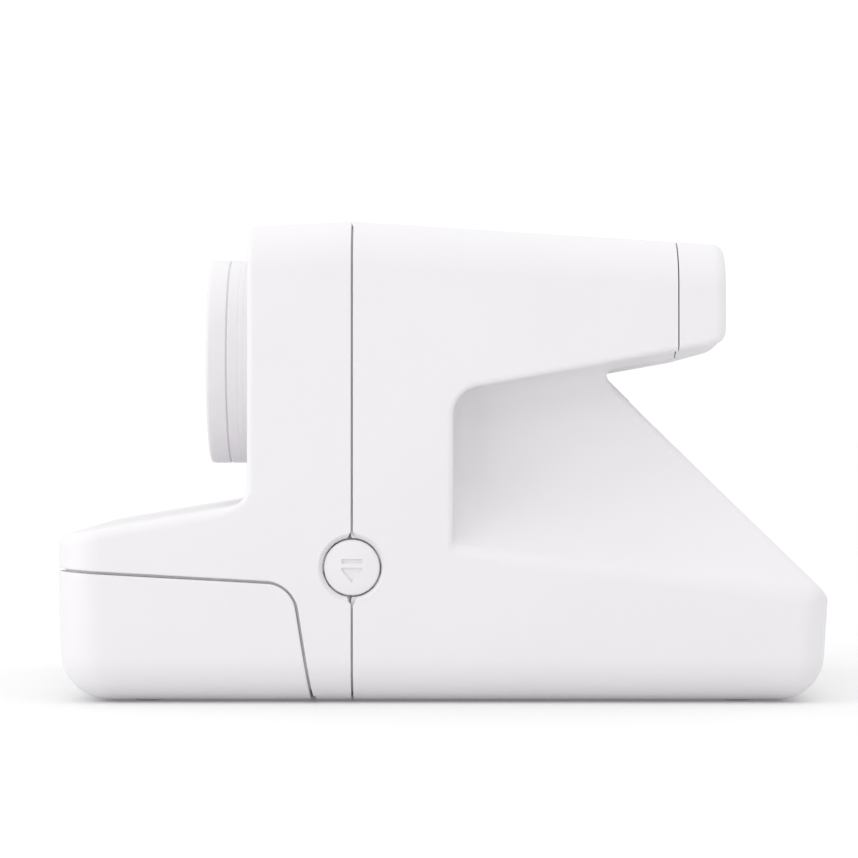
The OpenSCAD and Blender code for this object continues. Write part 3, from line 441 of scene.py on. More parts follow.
def rim_of(verts, normals, edges, keep, bevel, depth):
    """A rounded edge and a wall down into the gap, along a cut. Returns vertices, triangles, normals."""
    ids, local = np.unique(edges, return_inverse=True)
    local = local.reshape(edges.shape)
    p, n = verts[ids], normals[ids]
    out = -gradient(keep, p)
    out = unit(out - (out * n).sum(axis=1, keepdims=True) * n)
    along, drop, cone = bevel(p)
    slant = unit(out * drop[:, None] + n * along[:, None])
    rows, turns = [p], [n]
    for degrees in (30, 60, 90):
        s, c = math.sin(math.radians(degrees)), math.cos(math.radians(degrees))
        round_edge = out * (along * s)[:, None] - n * (drop * (1 - c))[:, None]
        chamfer = (out * along[:, None] - n * drop[:, None]) * (degrees / 90)
        rows.append(p + np.where(cone, chamfer, round_edge))
        turns.append(np.where(cone, slant, out * s + n * c))
    rows.append(p + out * along[:, None] - n * depth)
    turns.append(out)
    size, tris = len(ids), []
    for k in range(len(rows) - 1):
        i, j = local[:, 0] + k * size, local[:, 1] + k * size
        tris.append(np.stack([j, i, i + size], axis=1))
        tris.append(np.stack([j, i + size, j + size], axis=1))
    return np.vstack(rows), np.vstack(tris), np.vstack(turns)


def join(parts):
    """One set of vertices, triangles and normals from several."""
    verts, tris, normals, base = [], [], [], 0
    for v, t, n in parts:
        verts.append(v)
        tris.append(t + base)
        normals.append(n)
        base += len(v)
    return np.vstack(verts), np.vstack(tris), np.vstack(normals)


def add_object(name, verts, faces, material, normals=None, close=False, sharp=40):
    """A piece in the scene. close welds it and fills its open edges."""
    mesh = bpy.data.meshes.new(name)
    mesh.from_pydata(np.asarray(verts) * MM, [], [list(map(int, f)) for f in faces])
    if close:
        form = bmesh.new()
        form.from_mesh(mesh)
        bmesh.ops.remove_doubles(form, verts=form.verts, dist=1e-7)
        rims = [e for e in form.edges if e.is_boundary]
        bmesh.ops.holes_fill(form, edges=rims, sides=0)
        bmesh.ops.recalc_face_normals(form, faces=form.faces)
        form.to_mesh(mesh)
        form.free()
    mesh.shade_smooth()
    if normals is not None:
        mesh.normals_split_custom_set_from_vertices(normals)
    else:
        mesh.set_sharp_from_angle(angle=math.radians(sharp))
    mesh.materials.append(material)
    piece = bpy.data.objects.new(name, mesh)
    bpy.context.scene.collection.objects.link(piece)
    return piece


def edge_bevel(p):
    """How far an edge is eased along the surface and down into the gap, and whether it is a chamfer."""
    x, y, z = p.T
    cap = np.abs(y - CAP_Y) < 1.0
    seam = np.abs(y - SEAM_Y) < 1.0
    ring = release_hole(x, y, z) < CHAMFER + 0.1
    along = np.where(ring, CHAMFER, np.where(cap, 0.14, np.where(seam, 0.18, 0.3)))
    drop = np.where(ring, CHAMFER_DROP, along)
    return along, drop, ring[:, None]


def shell(name, region, material, outer, inner, lip=None):
    """One moulding of the housing: outer skin, rounded edges and walls in the gaps, and inner skin."""
    def skin_keep(x, y, z):
        return region(x, y, z) - edge_bevel(np.stack([x, y, z], axis=1))[0]

    verts, tris, edges = clip(*outer, skin_keep, housing)
    normals = unit(gradient(housing, verts))
    parts = [(verts, tris, normals)]
    parts.append(rim_of(verts, normals, edges, region, edge_bevel, WALL))
    verts, tris, _ = clip(*inner, region, housing, -WALL)
    parts.append((verts, tris[:, ::-1], -unit(gradient(housing, verts))))
    if lip is not None:
        surface, strip = lip
        verts, tris, _ = clip(*surface, strip, housing, -LIP_DEPTH)
        parts.append((verts, tris, unit(gradient(housing, verts))))
    return join(parts)


# ---- turned and moulded parts ----------------------------------------------

def wrapped_faces(rows, count):
    """Faces of a grid of points that closes on itself both ways."""
    faces = []
    for k in range(rows):
        for i in range(count):
            j, n = (i + 1) % count, (k + 1) % rows
            faces.append((k * count + i, k * count + j, n * count + j, n * count + i))
    return faces


def lathe(profile, centre, axis=1, count=96):
    """Turns a closed loop of (position along axis, radius) about an axis through centre."""
    u, v = [k for k in range(3) if k != axis]
    angle = np.arange(count) * 2 * math.pi / count
    verts = np.zeros((len(profile), count, 3))
    for k, (along, radius) in enumerate(profile):
        verts[k, :, axis] = along
        verts[k, :, u] = centre[u] + radius * np.cos(angle)
        verts[k, :, v] = centre[v] + radius * np.sin(angle)
    return verts.reshape(-1, 3), wrapped_faces(len(profile), count)


def turned(name, profile, centre, material, axis=1, count=96, sharp=30):
    """A solid of revolution, with its points on the axis welded into one."""
    verts, faces = lathe(profile, centre, axis, count)
    piece = add_object(name, verts, faces, material)
    form = bmesh.new()
    form.from_mesh(piece.data)
    bmesh.ops.remove_doubles(form, verts=form.verts, dist=1e-7)
    bmesh.ops.dissolve_degenerate(form, edges=form.edges, dist=1e-8)
    bmesh.ops.recalc_face_normals(form, faces=form.faces)
    form.to_mesh(piece.data)
    form.free()
    piece.data.shade_smooth()
    piece.data.set_sharp_from_angle(angle=math.radians(sharp))
    return piece


def rounded_outline(width, height, r, arc=8):
    """Points round a rectangle with rounded corners, in order, about the origin."""
    points = []
    for k, (su, sv) in enumerate(((1, 1), (-1, 1), (-1, -1), (1, -1))):
        for step in range(arc + 1):
            a = math.radians(90 * (k + step / arc))
            u = su * (width / 2 - r) + r * math.cos(a)
            v = sv * (height / 2 - r) + r * math.sin(a)
            points.append((u, v))
    return points


def surround(name, axis, reach, centre, outer, inner, material):
    """A flat ring between two rounded rectangles, each (width, height, corner radius).

    reach is where the ring starts and ends along the axis.
    """
    u, v = [k for k in range(3) if k != axis]
    verts = []
    for along, shape in ((reach[0], outer), (reach[0], inner), (reach[1], inner), (reach[1], outer)):
        for a, b in rounded_outline(*shape):
            point = [0.0, 0.0, 0.0]
            point[axis], point[u], point[v] = along, centre[u] + a, centre[v] + b
            verts.append(point)
    return add_object(name, verts, wrapped_faces(4, len(verts) // 4), material, close=True)


def panel(name, axis, sign, centre, half, step, height, keep, material, bevel=0.25, depth=1.5):
    """A moulded face that looks along sign * axis: height(u, v) is its position, keep its outline."""
    u_axis, v_axis = [k for k in range(3) if k != axis]
    u = np.arange(-half[0], half[0] + step, step) + centre[u_axis]
    v = np.arange(-half[1], half[1] + step, step) + centre[v_axis]
    grid_u, grid_v = np.meshgrid(u, v, indexing="ij")
    verts = np.zeros(grid_u.shape + (3,))
    verts[..., u_axis], verts[..., v_axis] = grid_u, grid_v
    verts[..., axis] = height(grid_u, grid_v)
    index = np.arange(grid_u.size).reshape(grid_u.shape)
    a, b = index[:-1, :-1].ravel(), index[1:, :-1].ravel()
    c, d = index[1:, 1:].ravel(), index[:-1, 1:].ravel()
    tris = np.vstack([np.stack([a, b, c], axis=1), np.stack([a, c, d], axis=1)])

    def split(x, y, z):
        p = (x, y, z)
        return p[axis], p[u_axis], p[v_axis]

    def surface(x, y, z):
        along, pu, pv = split(x, y, z)
        return sign * (along - height(pu, pv))

    def outline(x, y, z):
        _, pu, pv = split(x, y, z)
        return keep(pu, pv)

    def skin_outline(x, y, z):
        return outline(x, y, z) - bevel

    def rounding(p):
        even = np.full(len(p), bevel)
        return even, even, np.zeros((len(p), 1), bool)

    verts = verts.reshape(-1, 3)
    corners = verts[tris[0]]
    facing = np.cross(corners[1] - corners[0], corners[2] - corners[0])[axis] * sign
    if facing < 0:
        tris = tris[:, ::-1]
    verts, tris, edges = clip(verts, tris, skin_outline, surface)
    normals = unit(gradient(surface, verts))
    rim = rim_of(verts, normals, edges, outline, rounding, depth)
    verts, tris, _ = join([(verts, tris, normals), rim])
    return add_object(name, verts, tris, material, close=True)


# ---- materials -------------------------------------------------------------

SLOTS = {m["slot"]: m for m in frame["record"]["materials"]}


class Nodes:
    """A material's node tree with short helpers."""

    def __init__(self, name):
        self.material = bpy.data.materials.new(name)
        self.material.use_nodes = True
        self.tree = self.material.node_tree
        self.shader = self.tree.nodes["Principled BSDF"]
        self.place = self.add("ShaderNodeTexCoord").outputs["Object"]

    def add(self, kind, **settings):
        """A new node with the given settings."""
        node = self.tree.nodes.new(kind)
        for key, value in settings.items():
            setattr(node, key, value)
        return node

    def link(self, a, b):
        self.tree.links.new(a, b)

    def stretched(self, scale):
        """The object's own coordinates, stretched along each axis."""
        mapping = self.add("ShaderNodeMapping")
        mapping.inputs["Scale"].default_value = scale
        self.link(self.place, mapping.inputs["Vector"])
        return mapping.outputs["Vector"]

    def noise(self, size_mm, detail=3.0, rough=0.5, vector=None):
        """Noise whose features are about size_mm across."""
        node = self.add("ShaderNodeTexNoise")
        node.inputs["Scale"].default_value = 1 / (size_mm * MM)
        node.inputs["Detail"].default_value = detail
        node.inputs["Roughness"].default_value = rough
        self.link(vector or self.place, node.inputs["Vector"])
        return node.outputs["Fac"]

    def spread(self, source, low, high, start=0.3, end=0.7):
        """Maps a value from start..end to low..high."""
        node = self.add("ShaderNodeMapRange")
        for key, value in zip(("From Min", "From Max", "To Min", "To Max"), (start, end, low, high)):
            node.inputs[key].default_value = value
        self.link(source, node.inputs["Value"])
        return node.outputs["Result"]

    def tint(self, source, first, second):
        """A mix of two colours by a value from 0 to 1."""
        node = self.add("ShaderNodeMix", data_type="RGBA")
        self.link(source, node.inputs["Factor"])
        node.inputs["A"].default_value = (*first, 1)
        node.inputs["B"].default_value = (*second, 1)
        return node.outputs["Result"]

    def bump(self, source, height_mm, strength=1.0):
        """Fine relief on the shader's normal."""
        node = self.add("ShaderNodeBump")
        node.inputs["Strength"].default_value = strength
        node.inputs["Distance"].default_value = height_mm * MM
        self.link(source, node.inputs["Height"])
        self.link(node.outputs["Normal"], self.shader.inputs["Normal"])
        return node

    def put(self, socket, value):
        """Sets a shader socket to a number or colour, or links it to another node's output."""
        if hasattr(value, "default_value") or hasattr(value, "links"):
            self.link(value, self.shader.inputs[socket])
        else:
            self.shader.inputs[socket].default_value = value


def shaded(colour, factor):
    """The colour made lighter or darker."""
    return tuple(min(1.0, c * factor) for c in colour)


def moulded_plastic(slot, colour, roughness, grain_mm, grain_height, marks=0.015, coat=0.0):
    """Moulded plastic: fine spark-eroded grain, slow changes of gloss and a trace of handling marks."""
    m = Nodes(slot)
    grain = m.noise(grain_mm, 2.0)
    drift = m.noise(28.0, 3.0)
    handling = m.noise(6.0, 6.0, 0.65, m.stretched((1.0, 0.55, 1.0)))
    m.put("Base Color", m.tint(m.spread(drift, 0, 1), shaded(colour, 1 - marks), colour))
    m.put("Roughness", m.spread(handling, roughness - 0.05, roughness + 0.06))
    m.put("Coat Weight", coat)
    m.put("Coat Roughness", 0.25)
    m.bump(grain, grain_height)
    return m.material


def metal(slot, colour, roughness, brush, height):
    """Turned, drawn or sheet metal: fine lines along one way, with dull patches."""
    m = Nodes(slot)
    lines = m.noise(0.35, 3.0, 0.6, m.stretched(brush))
    patches = m.noise(9.0, 4.0)
    m.put("Metallic", 1.0)
    m.put("Base Color", m.tint(m.spread(patches, 0, 1), shaded(colour, 0.86), colour))
    m.put("Roughness", m.spread(lines, roughness - 0.07, roughness + 0.1))
    m.bump(lines, height)
    return m.material


def circuit_board(slot, colour):
    """Solder mask over copper tracks."""
    m = Nodes(slot)
    tracks = m.add("ShaderNodeTexBrick")
    tracks.inputs["Scale"].default_value = 180.0
    tracks.inputs["Mortar Size"].default_value = 0.03
    tracks.inputs["Color1"].default_value = (*colour, 1)
    tracks.inputs["Color2"].default_value = (*shaded(colour, 1.25), 1)
    tracks.inputs["Mortar"].default_value = (*shaded(colour, 1.9), 1)
    m.link(m.place, tracks.inputs["Vector"])
    m.put("Base Color", tracks.outputs["Color"])
    m.put("Roughness", m.spread(m.noise(1.5, 3.0), 0.28, 0.42))
    m.bump(tracks.outputs["Fac"], 0.03)
    return m.material


def glass(slot, colour, roughness=0.02, index=1.5, film=0.0):
    """Clear moulded optics with a faint waviness. film is an anti-reflection coat's thickness in nm."""
    m = Nodes(slot)
    wave = m.noise(7.0, 2.0)
    m.put("Base Color", m.tint(m.spread(wave, 0, 1), shaded(colour, 0.97), colour))
    m.put("Transmission Weight", 1.0)
    m.put("Roughness", m.spread(m.noise(3.0, 5.0), roughness, roughness + 0.03))
    m.put("IOR", index)
    if film:
        m.put("Thin Film Thickness", film)
        m.put("Thin Film IOR", 1.38)
    m.bump(wave, 0.01, 0.4)
    return m.material


def base_colour(slot):
    """A slot's colour in the record."""
    return tuple(SLOTS[slot]["base_color"][:3])


HOUSING_WHITE = (0.745, 0.73, 0.75)
# Roughness, size and height of the grain in mm, then handling marks and gloss coat where they differ
PLASTICS = {
    "black_plastic": (0.58, 0.22, 0.02, 0.2),
    "red_button": (0.38, 0.4, 0.006, 0.08, 0.3),
    "acetal": (0.42, 0.5, 0.008, 0.06),
    "rubber_grey": (0.82, 0.15, 0.03, 0.15),
    "capacitor_sleeve": (0.3, 0.8, 0.01, 0.2, 0.5),
    "battery_wrap": (0.3, 1.2, 0.05, 0.1, 0.4),
    "display_orange": (0.35, 0.5, 0.005, 0.1),
}
# Roughness, stretch of the brush lines along each axis, and their height in mm
METALS = {
    "steel": (0.26, (40.0, 1.0, 1.0), 0.004),
    "spring_steel": (0.3, (1.0, 6.0, 6.0), 0.004),
    "dark_steel": (0.5, (1.0, 1.0, 8.0), 0.005),
    "brass": (0.28, (20.0, 1.0, 1.0), 0.004),
    "coil_copper": (0.32, (30.0, 1.0, 1.0), 0.03),
    "silver_reflector": (0.12, (1.0, 1.0, 1.0), 0.002),
    "mirror_glass": (0.08, (1.0, 1.0, 1.0), 0.0005),
}


def make_materials():
    """Every material slot of the record, put on the CAD nodes as well."""
    smoke = shaded(base_colour("smoked_window"), 0.3)
    made = {
        "housing_white": moulded_plastic("housing_white", HOUSING_WHITE, 0.46, 0.32, 0.012),
        "smoked_window": moulded_plastic("smoked_window", smoke, 0.12, 3.0, 0.002, 0.05, 1.0),
        "circuit_board": circuit_board("circuit_board", base_colour("circuit_board")),
        "clear_glass": glass("clear_glass", (0.96, 0.98, 0.99)),
        "coated_glass": glass("coated_glass", (0.9, 0.93, 0.97), 0.01, 1.52, 420.0),
    }
    for slot, finish in PLASTICS.items():
        made[slot] = moulded_plastic(slot, base_colour(slot), *finish)
    for slot, finish in METALS.items():
        made[slot] = metal(slot, base_colour(slot), *finish)
    for name, node in frame["nodes"].items():
        node.data.materials.clear()
        node.data.materials.append(made[node_slot(name)])
    return made


def node_slot(name):
    """A CAD node's material slot in the record."""
    return next(s["material_slot"] for s in frame["record"]["subparts"] if s["node"] == name)


def stand_in(piece, node, body):
    """piece replaces one CAD node and rides on its body."""
    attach(piece, body)
    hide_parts(node)
    node_slot(node)


# ---- housing ---------------------------------------------------------------

def tube(start, end, radius, centre):
    """The wall of a cylinder along X, wound outwards: vertices, triangles, normals."""
    count = 32
    verts, quads = lathe([(start, radius), (end, radius)], centre, axis=0, count=count)
    quads = np.array(quads[:count])
    tris = np.vstack([quads[:, [0, 1, 2]], quads[:, [0, 2, 3]]])
    normals = unit((verts - centre) * (0, 1, 1))
    a, b, c = verts[tris[0]]
    if np.cross(b - a, c - a) @ normals[tris[0][0]] < 0:
        tris = tris[:, ::-1]
    return verts, tris, normals


def strap_fittings():
    """Floors and bars of the two strap pockets in the sloping back."""
    parts = []
    across = np.array([0, 1, -1]) / math.sqrt(2)
    inwards = -np.array([0, 1, 1]) / math.sqrt(2)
    for side in (-1, 1):
        middle = STRAP * (side, 1, 1) + inwards * STRAP_DEPTH
        corners = [middle + a * 4.4 * np.array([1, 0, 0]) + b * 4.2 * across
                   for a, b in ((-1, -1), (1, -1), (1, 1), (-1, 1))]
        normal = np.tile(-inwards, (4, 1))
        facing = np.cross(corners[1] - corners[0], corners[2] - corners[0]) @ -inwards
        tris = np.array([[0, 1, 2], [0, 2, 3]]) if facing > 0 else np.array([[0, 2, 1], [0, 3, 2]])
        parts.append((np.array(corners), tris, normal))
        middle_x = side * STRAP[0]
        centre = np.array([middle_x, STRAP[1] - STRAP_BAR_R, STRAP[2] - STRAP_BAR_R])
        parts.append(tube(middle_x - STRAP_BAR_HALF, middle_x + STRAP_BAR_HALF, STRAP_BAR_R, centre))
    return parts


def hinge_knuckles():
    """Two barrels that the hinge pin runs through, moulded inside the film door."""
    return [tube(x - KNUCKLE_HALF, x + KNUCKLE_HALF, KNUCKLE_R, HINGE) for x in (-KNUCKLE_X, KNUCKLE_X)]


def build_housing(material):
    """The four mouldings that make the outer form."""
    volume, lines = sample_housing()
    outer = level_surface(volume, lines, 0.0)
    inner = level_surface(volume, lines, -WALL, 0.25)
    lip = level_surface(volume, lines, -LIP_DEPTH)
    jobs = (
        ("front_shell", "camera_body", front_region, (lip, door_lip), []),
        ("rear_shell", "camera_body", rear_region, (lip, seam_lip), strap_fittings()),
        ("rear_cap", "camera_body", cap_region, None, []),
        ("film_door", "film_door", door_region, None, hinge_knuckles()),
    )
    for node, body, region, rebate, extras in jobs:
        moulding = shell(node, region, material, outer, inner, rebate)
        verts, tris, normals = join([moulding] + extras)
        piece = add_object(node + "_moulding", verts, tris, material, normals)
        stand_in(piece, node, body)


# ---- front: lens, windows, buttons -----------------------------------------

def build_lens(materials):
    """Grooved barrel, front ring, stepped cone and ground front glass, all turned about the lens axis."""
    white, black = materials["housing_white"], materials["black_plastic"]
    centre = (0, 0, LENS_Z)
    r = BARREL_R
    rear = [(FACE_Y + 0.3, r), (FACE_Y - 1.2, r)]
    for k in range(3):
        y = FACE_Y - 1.5 - 1.1 * k
        rear += [(y, r), (y - 0.1, r - 0.05), (y - 0.16, r - 0.05), (y - 0.26, r)]
    rear += [(GROOVE_Y + 0.3, r), (GROOVE_Y + 0.14, r - 0.14)]
    rear += [(GROOVE_Y + 0.13, r - 4), (FACE_Y + 0.3, r - 4)]
    barrel = turned("lens_barrel_turned", rear, centre, white, count=160, sharp=25)
    stand_in(barrel, "lens_barrel", "camera_body")

    front = [(GROOVE_Y + 0.12, r - 0.32), (GROOVE_Y - 0.1, r - 0.32), (GROOVE_Y - 0.12, r - 0.14),
             (GROOVE_Y - 0.28, r), (RIM_Y + 0.8, r)]
    for k in range(1, 7):
        a = math.radians(15 * k)
        front.append((RIM_Y + 0.8 - 0.8 * math.sin(a), r - 0.8 + 0.8 * math.cos(a)))
    front += [(RIM_Y, r - 2.6), (RIM_Y + 0.15, r - 2.85), (RIM_Y + 2.0, r - 3.9), (GROOVE_Y + 0.12, r - 3.9)]
    ring = turned("lens_ring_turned", front, centre, white, count=160, sharp=25)
    stand_in(ring, "lens_ring", "camera_body")

    # stepped black cone: each step has a shallow thread against stray light
    steps, depth = 6, 10.0
    outer, first, last = r - 4.05, r - 5.2, 8.6
    start = RIM_Y + 2.0
    cone = [(start, outer), (start, first)]
    for k in range(steps):
        y, radius = start + depth * k / steps, first - (first - last) * k / steps
        for n in range(4):
            cone += [(y + 0.38 * n, radius), (y + 0.38 * n + 0.19, radius - 0.12)]
        cone.append((start + depth * (k + 1) / steps - 0.05, radius))
    cone += [(start + depth, 8.0), (FACE_Y + 4.4, 8.0), (FACE_Y + 4.4, outer)]
    piece = turned("lens_cone_turned", cone, centre, black, count=96, sharp=25)
    stand_in(piece, "lens_cone", "camera_body")

    low, high = node_box("front_lens")
    radius = (high[0] - low[0]) / 2 - 0.02
    bulge = 20.0
    shape = []
    for k in range(13):
        q = radius * k / 12
        shape.append((low[1] + bulge - math.sqrt(bulge ** 2 - q ** 2), q))
    for k in range(12, -1, -1):
        q = radius * k / 12
        shape.append((low[1] + 3.5 + 48 - math.sqrt(48.0 ** 2 - q ** 2), q))
    piece = turned("front_lens_ground", shape, centre, materials["coated_glass"], count=96)
    stand_in(piece, "front_lens", "camera_body")


def build_round_buttons(materials):
    """The red shutter button with its dished cap, and the three keys in the hump's rear face."""
    low, high = node_box("shutter_button")
    r, dish = 5.2, 0.9
    cap = [(high[1], 0.0), (high[1], 1.5), (low[1] + 4.4, 1.5), (low[1] + 4.4, 6.3),
           (low[1] + 3.7, 6.3), (low[1] + 3.6, r), (low[1] + 0.5, r)]
    cap += [(low[1] + 0.5 - 0.5 * math.sin(a), r - 0.5 + 0.5 * math.cos(a))
            for a in np.radians([22.5, 45, 67.5, 90])]
    cap += [(low[1] + dish * (1 - (q / 4.4) ** 2) ** 2, q) for q in np.linspace(4.2, 0, 12)]
    piece = turned("shutter_button_cap", cap, (SHUTTER[0], 0, SHUTTER[2]), materials["red_button"], count=96)
    stand_in(piece, "shutter_button", "shutter_button")
    for name in KEYS:
        low, high = node_box(name)
        spot = node_centre(name)
        top = high[1]
        stem = low[1] + 0.35
        key = [(stem, 0.0), (stem, 1.2), (top - 3.9, 1.2), (top - 3.9, 4.9), (top - 3.0, 4.9),
               (top - 2.9, 4.0), (top - 0.45, 4.0)]
        key += [(top - 0.45 + 0.45 * math.sin(a), 3.55 + 0.45 * math.cos(a))
                for a in np.radians([22.5, 45, 67.5, 90])]
        key += [(top - 0.35 * (1 - (q / 3.4) ** 2) ** 2, q) for q in np.linspace(3.2, 0, 9)]
        piece = turned(name + "_cap", key, (spot[0], 0, spot[2]), materials["housing_white"], count=72)
        stand_in(piece, name, name)


def coil_spring(name, node, side, axis, wire, turns, push, material):
    """A wire spring with close-wound ends, standing in for one CAD node."""
    low, high = node_box(node)
    centre = (low + high) / 2
    u, v = [k for k in range(3) if k != axis]
    mean = (high[v] - low[v]) / 2 - wire
    if side:
        centre[u] = high[u] - mean - wire if side > 0 else low[u] + mean + wire
    start, length = low[axis] + wire, high[axis] - low[axis] - 2 * wire
    steps, around = turns * 20, 8
    verts = []
    for i in range(steps + 1):
        t = i / steps
        rise = t - 0.55 * math.sin(2 * math.pi * t) / (2 * math.pi)
        turn = 2 * math.pi * turns * t
        for k in range(around):
            a = 2 * math.pi * k / around
            point = [0.0, 0.0, 0.0]
            radius = mean + wire * math.cos(a)
            point[axis] = start + length * rise + wire * math.sin(a)
            point[u], point[v] = centre[u] + radius * math.cos(turn), centre[v] + radius * math.sin(turn)
            verts.append(point)
    faces = []
    for i in range(steps):
        for k in range(around):
            a, b = i * around + k, i * around + (k + 1) % around
            faces.append((a, b, b + around, a + around))
    piece = add_object(name, verts, faces, material, close=True, sharp=60)
    stand_in(piece, node, "film_door" if side else "camera_body")
    anchor = np.array(centre)
    anchor[axis] = high[axis] if push > 0 else low[axis]
    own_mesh(piece)


def build_springs(material):
    """The springs of the shutter button, the latch and the upper roller's bearings."""
    coil_spring("shutter_button_coil", "shutter_button_spring", 0, 1, 0.3, 3,
                1, material)
    coil_spring("latch_coil", "latch_spring", 0, 0, 0.35, 4, -1, material)
    for side, label in ((-1, "left"), (1, "right")):
        coil_spring("roller_coil_" + label, "roller_springs", side, 2, 0.2, 4,
                    1, material)


def build_door_button(material):
    """Round push button with a sunken release sign: a bar over a triangle that points down."""
    y0, z0 = BUTTON[1], BUTTON[2]
    face = node_box("door_button")[1][0]

    def sign_depth(y, z):
        u, v = y - y0, z - z0
        bar = round_slot(u, v - 1.2, 4.0, 0.8, 0.2)
        slant = (np.abs(u) * 2.9 - (v + 2.9) * 2.35) / math.hypot(2.9, 2.35)
        arrow = soft_max(v + 0.05, slant, 0.45)
        return 0.45 * (1 - blend(np.minimum(bar, arrow), -0.09, 0.03))

    def height(y, z):
        radius = np.hypot(y - y0, z - z0)
        return face - 0.012 * radius ** 2 - sign_depth(y, z)

    def keep(y, z):
        return BUTTON_R - np.hypot(y - y0, z - z0)

    piece = panel("door_button_cap", 0, 1, BUTTON, (5.8, 5.8), 0.09, height, keep, material, 0.4, 6.0)
    flange = [(face - 2.5, 5.3), (face - 2.5, 6.9), (face - 3.3, 6.9), (face - 3.3, 5.3)]
    ring = turned("door_button_flange", flange, (0, y0, z0), material, axis=0)
    stand_in(ring, "door_button", "door_button")
    stand_in(piece, "door_button", "door_button")


def build_flash_window(material):
    """Clear flash window with upright ribs on its face."""
    low, high = node_box("flash_window")
    middle = (low + high) / 2
    width, tall = high[0] - low[0], high[2] - low[2]

    def keep(x, z):
        return -round_slot(x - middle[0], z - middle[2], width, tall, 2.4)

    def height(x, z):
        rib = (1 + np.cos(2 * math.pi * (x - middle[0]) / 1.2)) / 2
        return low[1] + 0.05 + 0.16 * rib * blend(keep(x, z), 0.9, 1.4)

    half = (width / 2 + 0.5, tall / 2 + 0.5)
    depth = high[1] - low[1] - 0.1
    piece = panel("flash_window_ribbed", 1, -1, middle, half, 0.2, height, keep, material, 0.25, depth)
    stand_in(piece, "flash_window", "camera_body")


def build_openings(materials):
    """Black surrounds behind the picture slot and the viewfinder, and the charging socket."""
    black = materials["black_plastic"]
    slot_z = (SLOT_Z[0] + SLOT_Z[1]) / 2
    slot_tall = SLOT_Z[1] - SLOT_Z[0]
    liner = surround("picture_slot_liner", 1, (NOSE_Y + 2.3, NOSE_Y + 3.6), (0, 0, slot_z),
                     (SLOT_W + 1.5, slot_tall + 1.4, 2.4), (SLOT_W - 5, slot_tall - 1.6, 1.2), black)
    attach(liner, "film_door")

    low, high = node_box("viewfinder_window")
    width, tall = high[0] - low[0], high[2] - low[2]
    mask = surround("viewfinder_mask", 1, (high[1] + 0.1, high[1] + 0.9), node_centre("viewfinder_window"),
                    (width + 2.5, tall + 2.5, 3.0), (width - 6.4, tall - 5.6, 1.2), black)
    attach(mask, "camera_body")

    mouth, end = -HALF_W + 0.9, node_box("usb_socket")[1][0]
    can = surround("usb_socket_shell", 0, (mouth, end), USB,
                   (8.6, 3.2, 1.55), (7.9, 2.5, 1.2), materials["steel"])
    tongue = surround("usb_socket_tongue", 0, (mouth + 0.9, end), USB,
                      (6.2, 0.9, 0.3), (5.6, 0.2, 0.05), black)
    back = surround("usb_socket_back", 0, (mouth + 3.2, mouth + 4.2), USB,
                    (8.2, 2.8, 1.3), (0.4, 0.2, 0.05), black)
    for piece, slot in ((can, "steel"), (tongue, "black_plastic"), (back, "black_plastic")):
        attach(piece, "camera_body")
        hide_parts("usb_socket")


# ---- stage -----------------------------------------------------------------

CAMERA_AT = (0.660, -0.00264, 0.0533)
LENS_MM = 131.2
# Strength of the room's light at the horizon and overhead, and of the white seen behind the camera
ROOM_LIGHT, BACKDROP_LIGHT = (0.8, 1.4), 1.05
# Place in metres, width in metres and power of each lamp
LAMPS = {
    "lens_side": ((0.35, -0.9, 0.1), 0.7, 3.0),
    "camera_side": ((0.95, -0.35, 0.3), 0.6, 0.7),
}
FLOOR_HALF = 12.0


def build_camera():
    """The photograph's view: level, from the side with the door button."""
    data = bpy.data.cameras.new("view")
    data.lens = LENS_MM
    data.sensor_width = 36.0
    data.clip_start = 0.01
    data.dof.use_dof = False
    camera = bpy.data.objects.new("view", data)
    camera.location = CAMERA_AT
    camera.rotation_euler = (math.radians(90), 0, math.radians(90))
    bpy.context.scene.collection.objects.link(camera)
    bpy.context.scene.camera = camera


def area_light(name, location, target, size, power):
    """A square lamp that faces the target."""
    data = bpy.data.lights.new(name, "AREA")
    data.shape = "SQUARE"
    data.size = size
    data.energy = power
    light = bpy.data.objects.new(name, data)
    light.location = location
    direction = np.array(target) - np.array(location)
    tilt = math.atan2(math.hypot(direction[0], direction[1]), -direction[2])
    light.rotation_euler = (tilt, 0, math.atan2(direction[1], direction[0]) - math.pi / 2)
    bpy.context.scene.collection.objects.link(light)


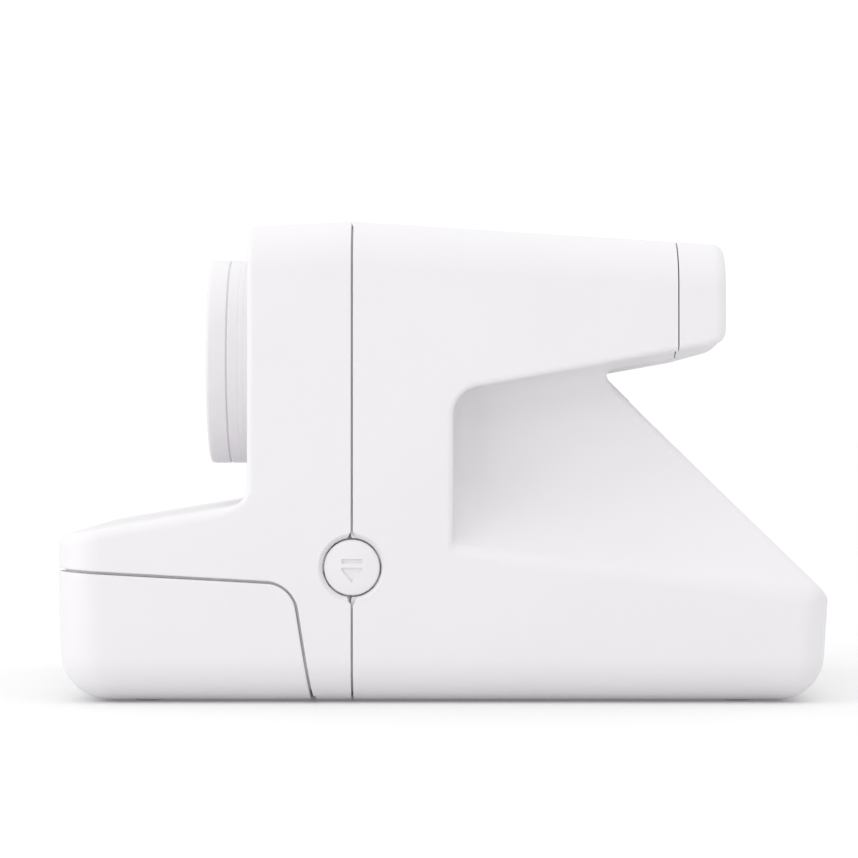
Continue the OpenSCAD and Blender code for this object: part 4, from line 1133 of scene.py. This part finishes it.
def build_backdrop():
    """A soft room that lights the camera, and a plain white wall where the viewer looks past it."""
    world = bpy.data.worlds.new("studio")
    world.use_nodes = True
    tree = world.node_tree
    backdrop = tree.nodes["Background"]
    backdrop.inputs["Color"].default_value = (1, 1, 1, 1)
    backdrop.inputs["Strength"].default_value = BACKDROP_LIGHT
    softbox = tree.nodes.new("ShaderNodeBackground")
    softbox.inputs["Color"].default_value = (1, 1, 1, 1)
    height = tree.nodes.new("ShaderNodeSeparateXYZ")
    tree.links.new(tree.nodes.new("ShaderNodeTexCoord").outputs["Generated"], height.inputs[0])
    fade = tree.nodes.new("ShaderNodeMapRange")
    for key, value in zip(("From Min", "From Max", "To Min", "To Max"), (0.0, 1.0, *ROOM_LIGHT)):
        fade.inputs[key].default_value = value
    tree.links.new(height.outputs["Z"], fade.inputs["Value"])
    tree.links.new(fade.outputs["Result"], softbox.inputs["Strength"])
    seen = tree.nodes.new("ShaderNodeMixShader")
    tree.links.new(tree.nodes.new("ShaderNodeLightPath").outputs["Is Camera Ray"], seen.inputs[0])
    tree.links.new(softbox.outputs[0], seen.inputs[1])
    tree.links.new(backdrop.outputs[0], seen.inputs[2])
    tree.links.new(seen.outputs[0], tree.nodes["World Output"].inputs["Surface"])
    bpy.context.scene.world = world
    bpy.context.scene.view_settings.view_transform = "Standard"


def build_floor():
    """A sheet of pale matt paper."""
    half = FLOOR_HALF
    corners = [(-half, -half, 0), (half, -half, 0), (half, half, 0), (-half, half, 0)]
    mesh = bpy.data.meshes.new("floor")
    mesh.from_pydata(corners, [], [(0, 1, 2, 3)])
    paper = Nodes("floor_paper")
    paper.put("Base Color", paper.tint(paper.noise(40.0, 2.0), (0.74, 0.74, 0.74), (0.76, 0.76, 0.76)))
    paper.put("Roughness", 1.0)
    paper.put("Specular IOR Level", 0.0)
    paper.put("Emission Color", (1, 1, 1, 1))
    paper.put("Emission Strength", 0.1)
    mesh.materials.append(paper.material)
    floor = bpy.data.objects.new("floor", mesh)
    bpy.context.scene.collection.objects.link(floor)


# ---- run -------------------------------------------------------------------

build_camera()
build_backdrop()
build_floor()
for name, (location, size, power) in LAMPS.items():
    area_light(name, location, (0, 0, 0.05), size, power)
materials = make_materials()
build_housing(materials["housing_white"])
build_lens(materials)
build_round_buttons(materials)
build_door_button(materials["housing_white"])
build_flash_window(materials["clear_glass"])
build_springs(materials["spring_steel"])
build_openings(materials)
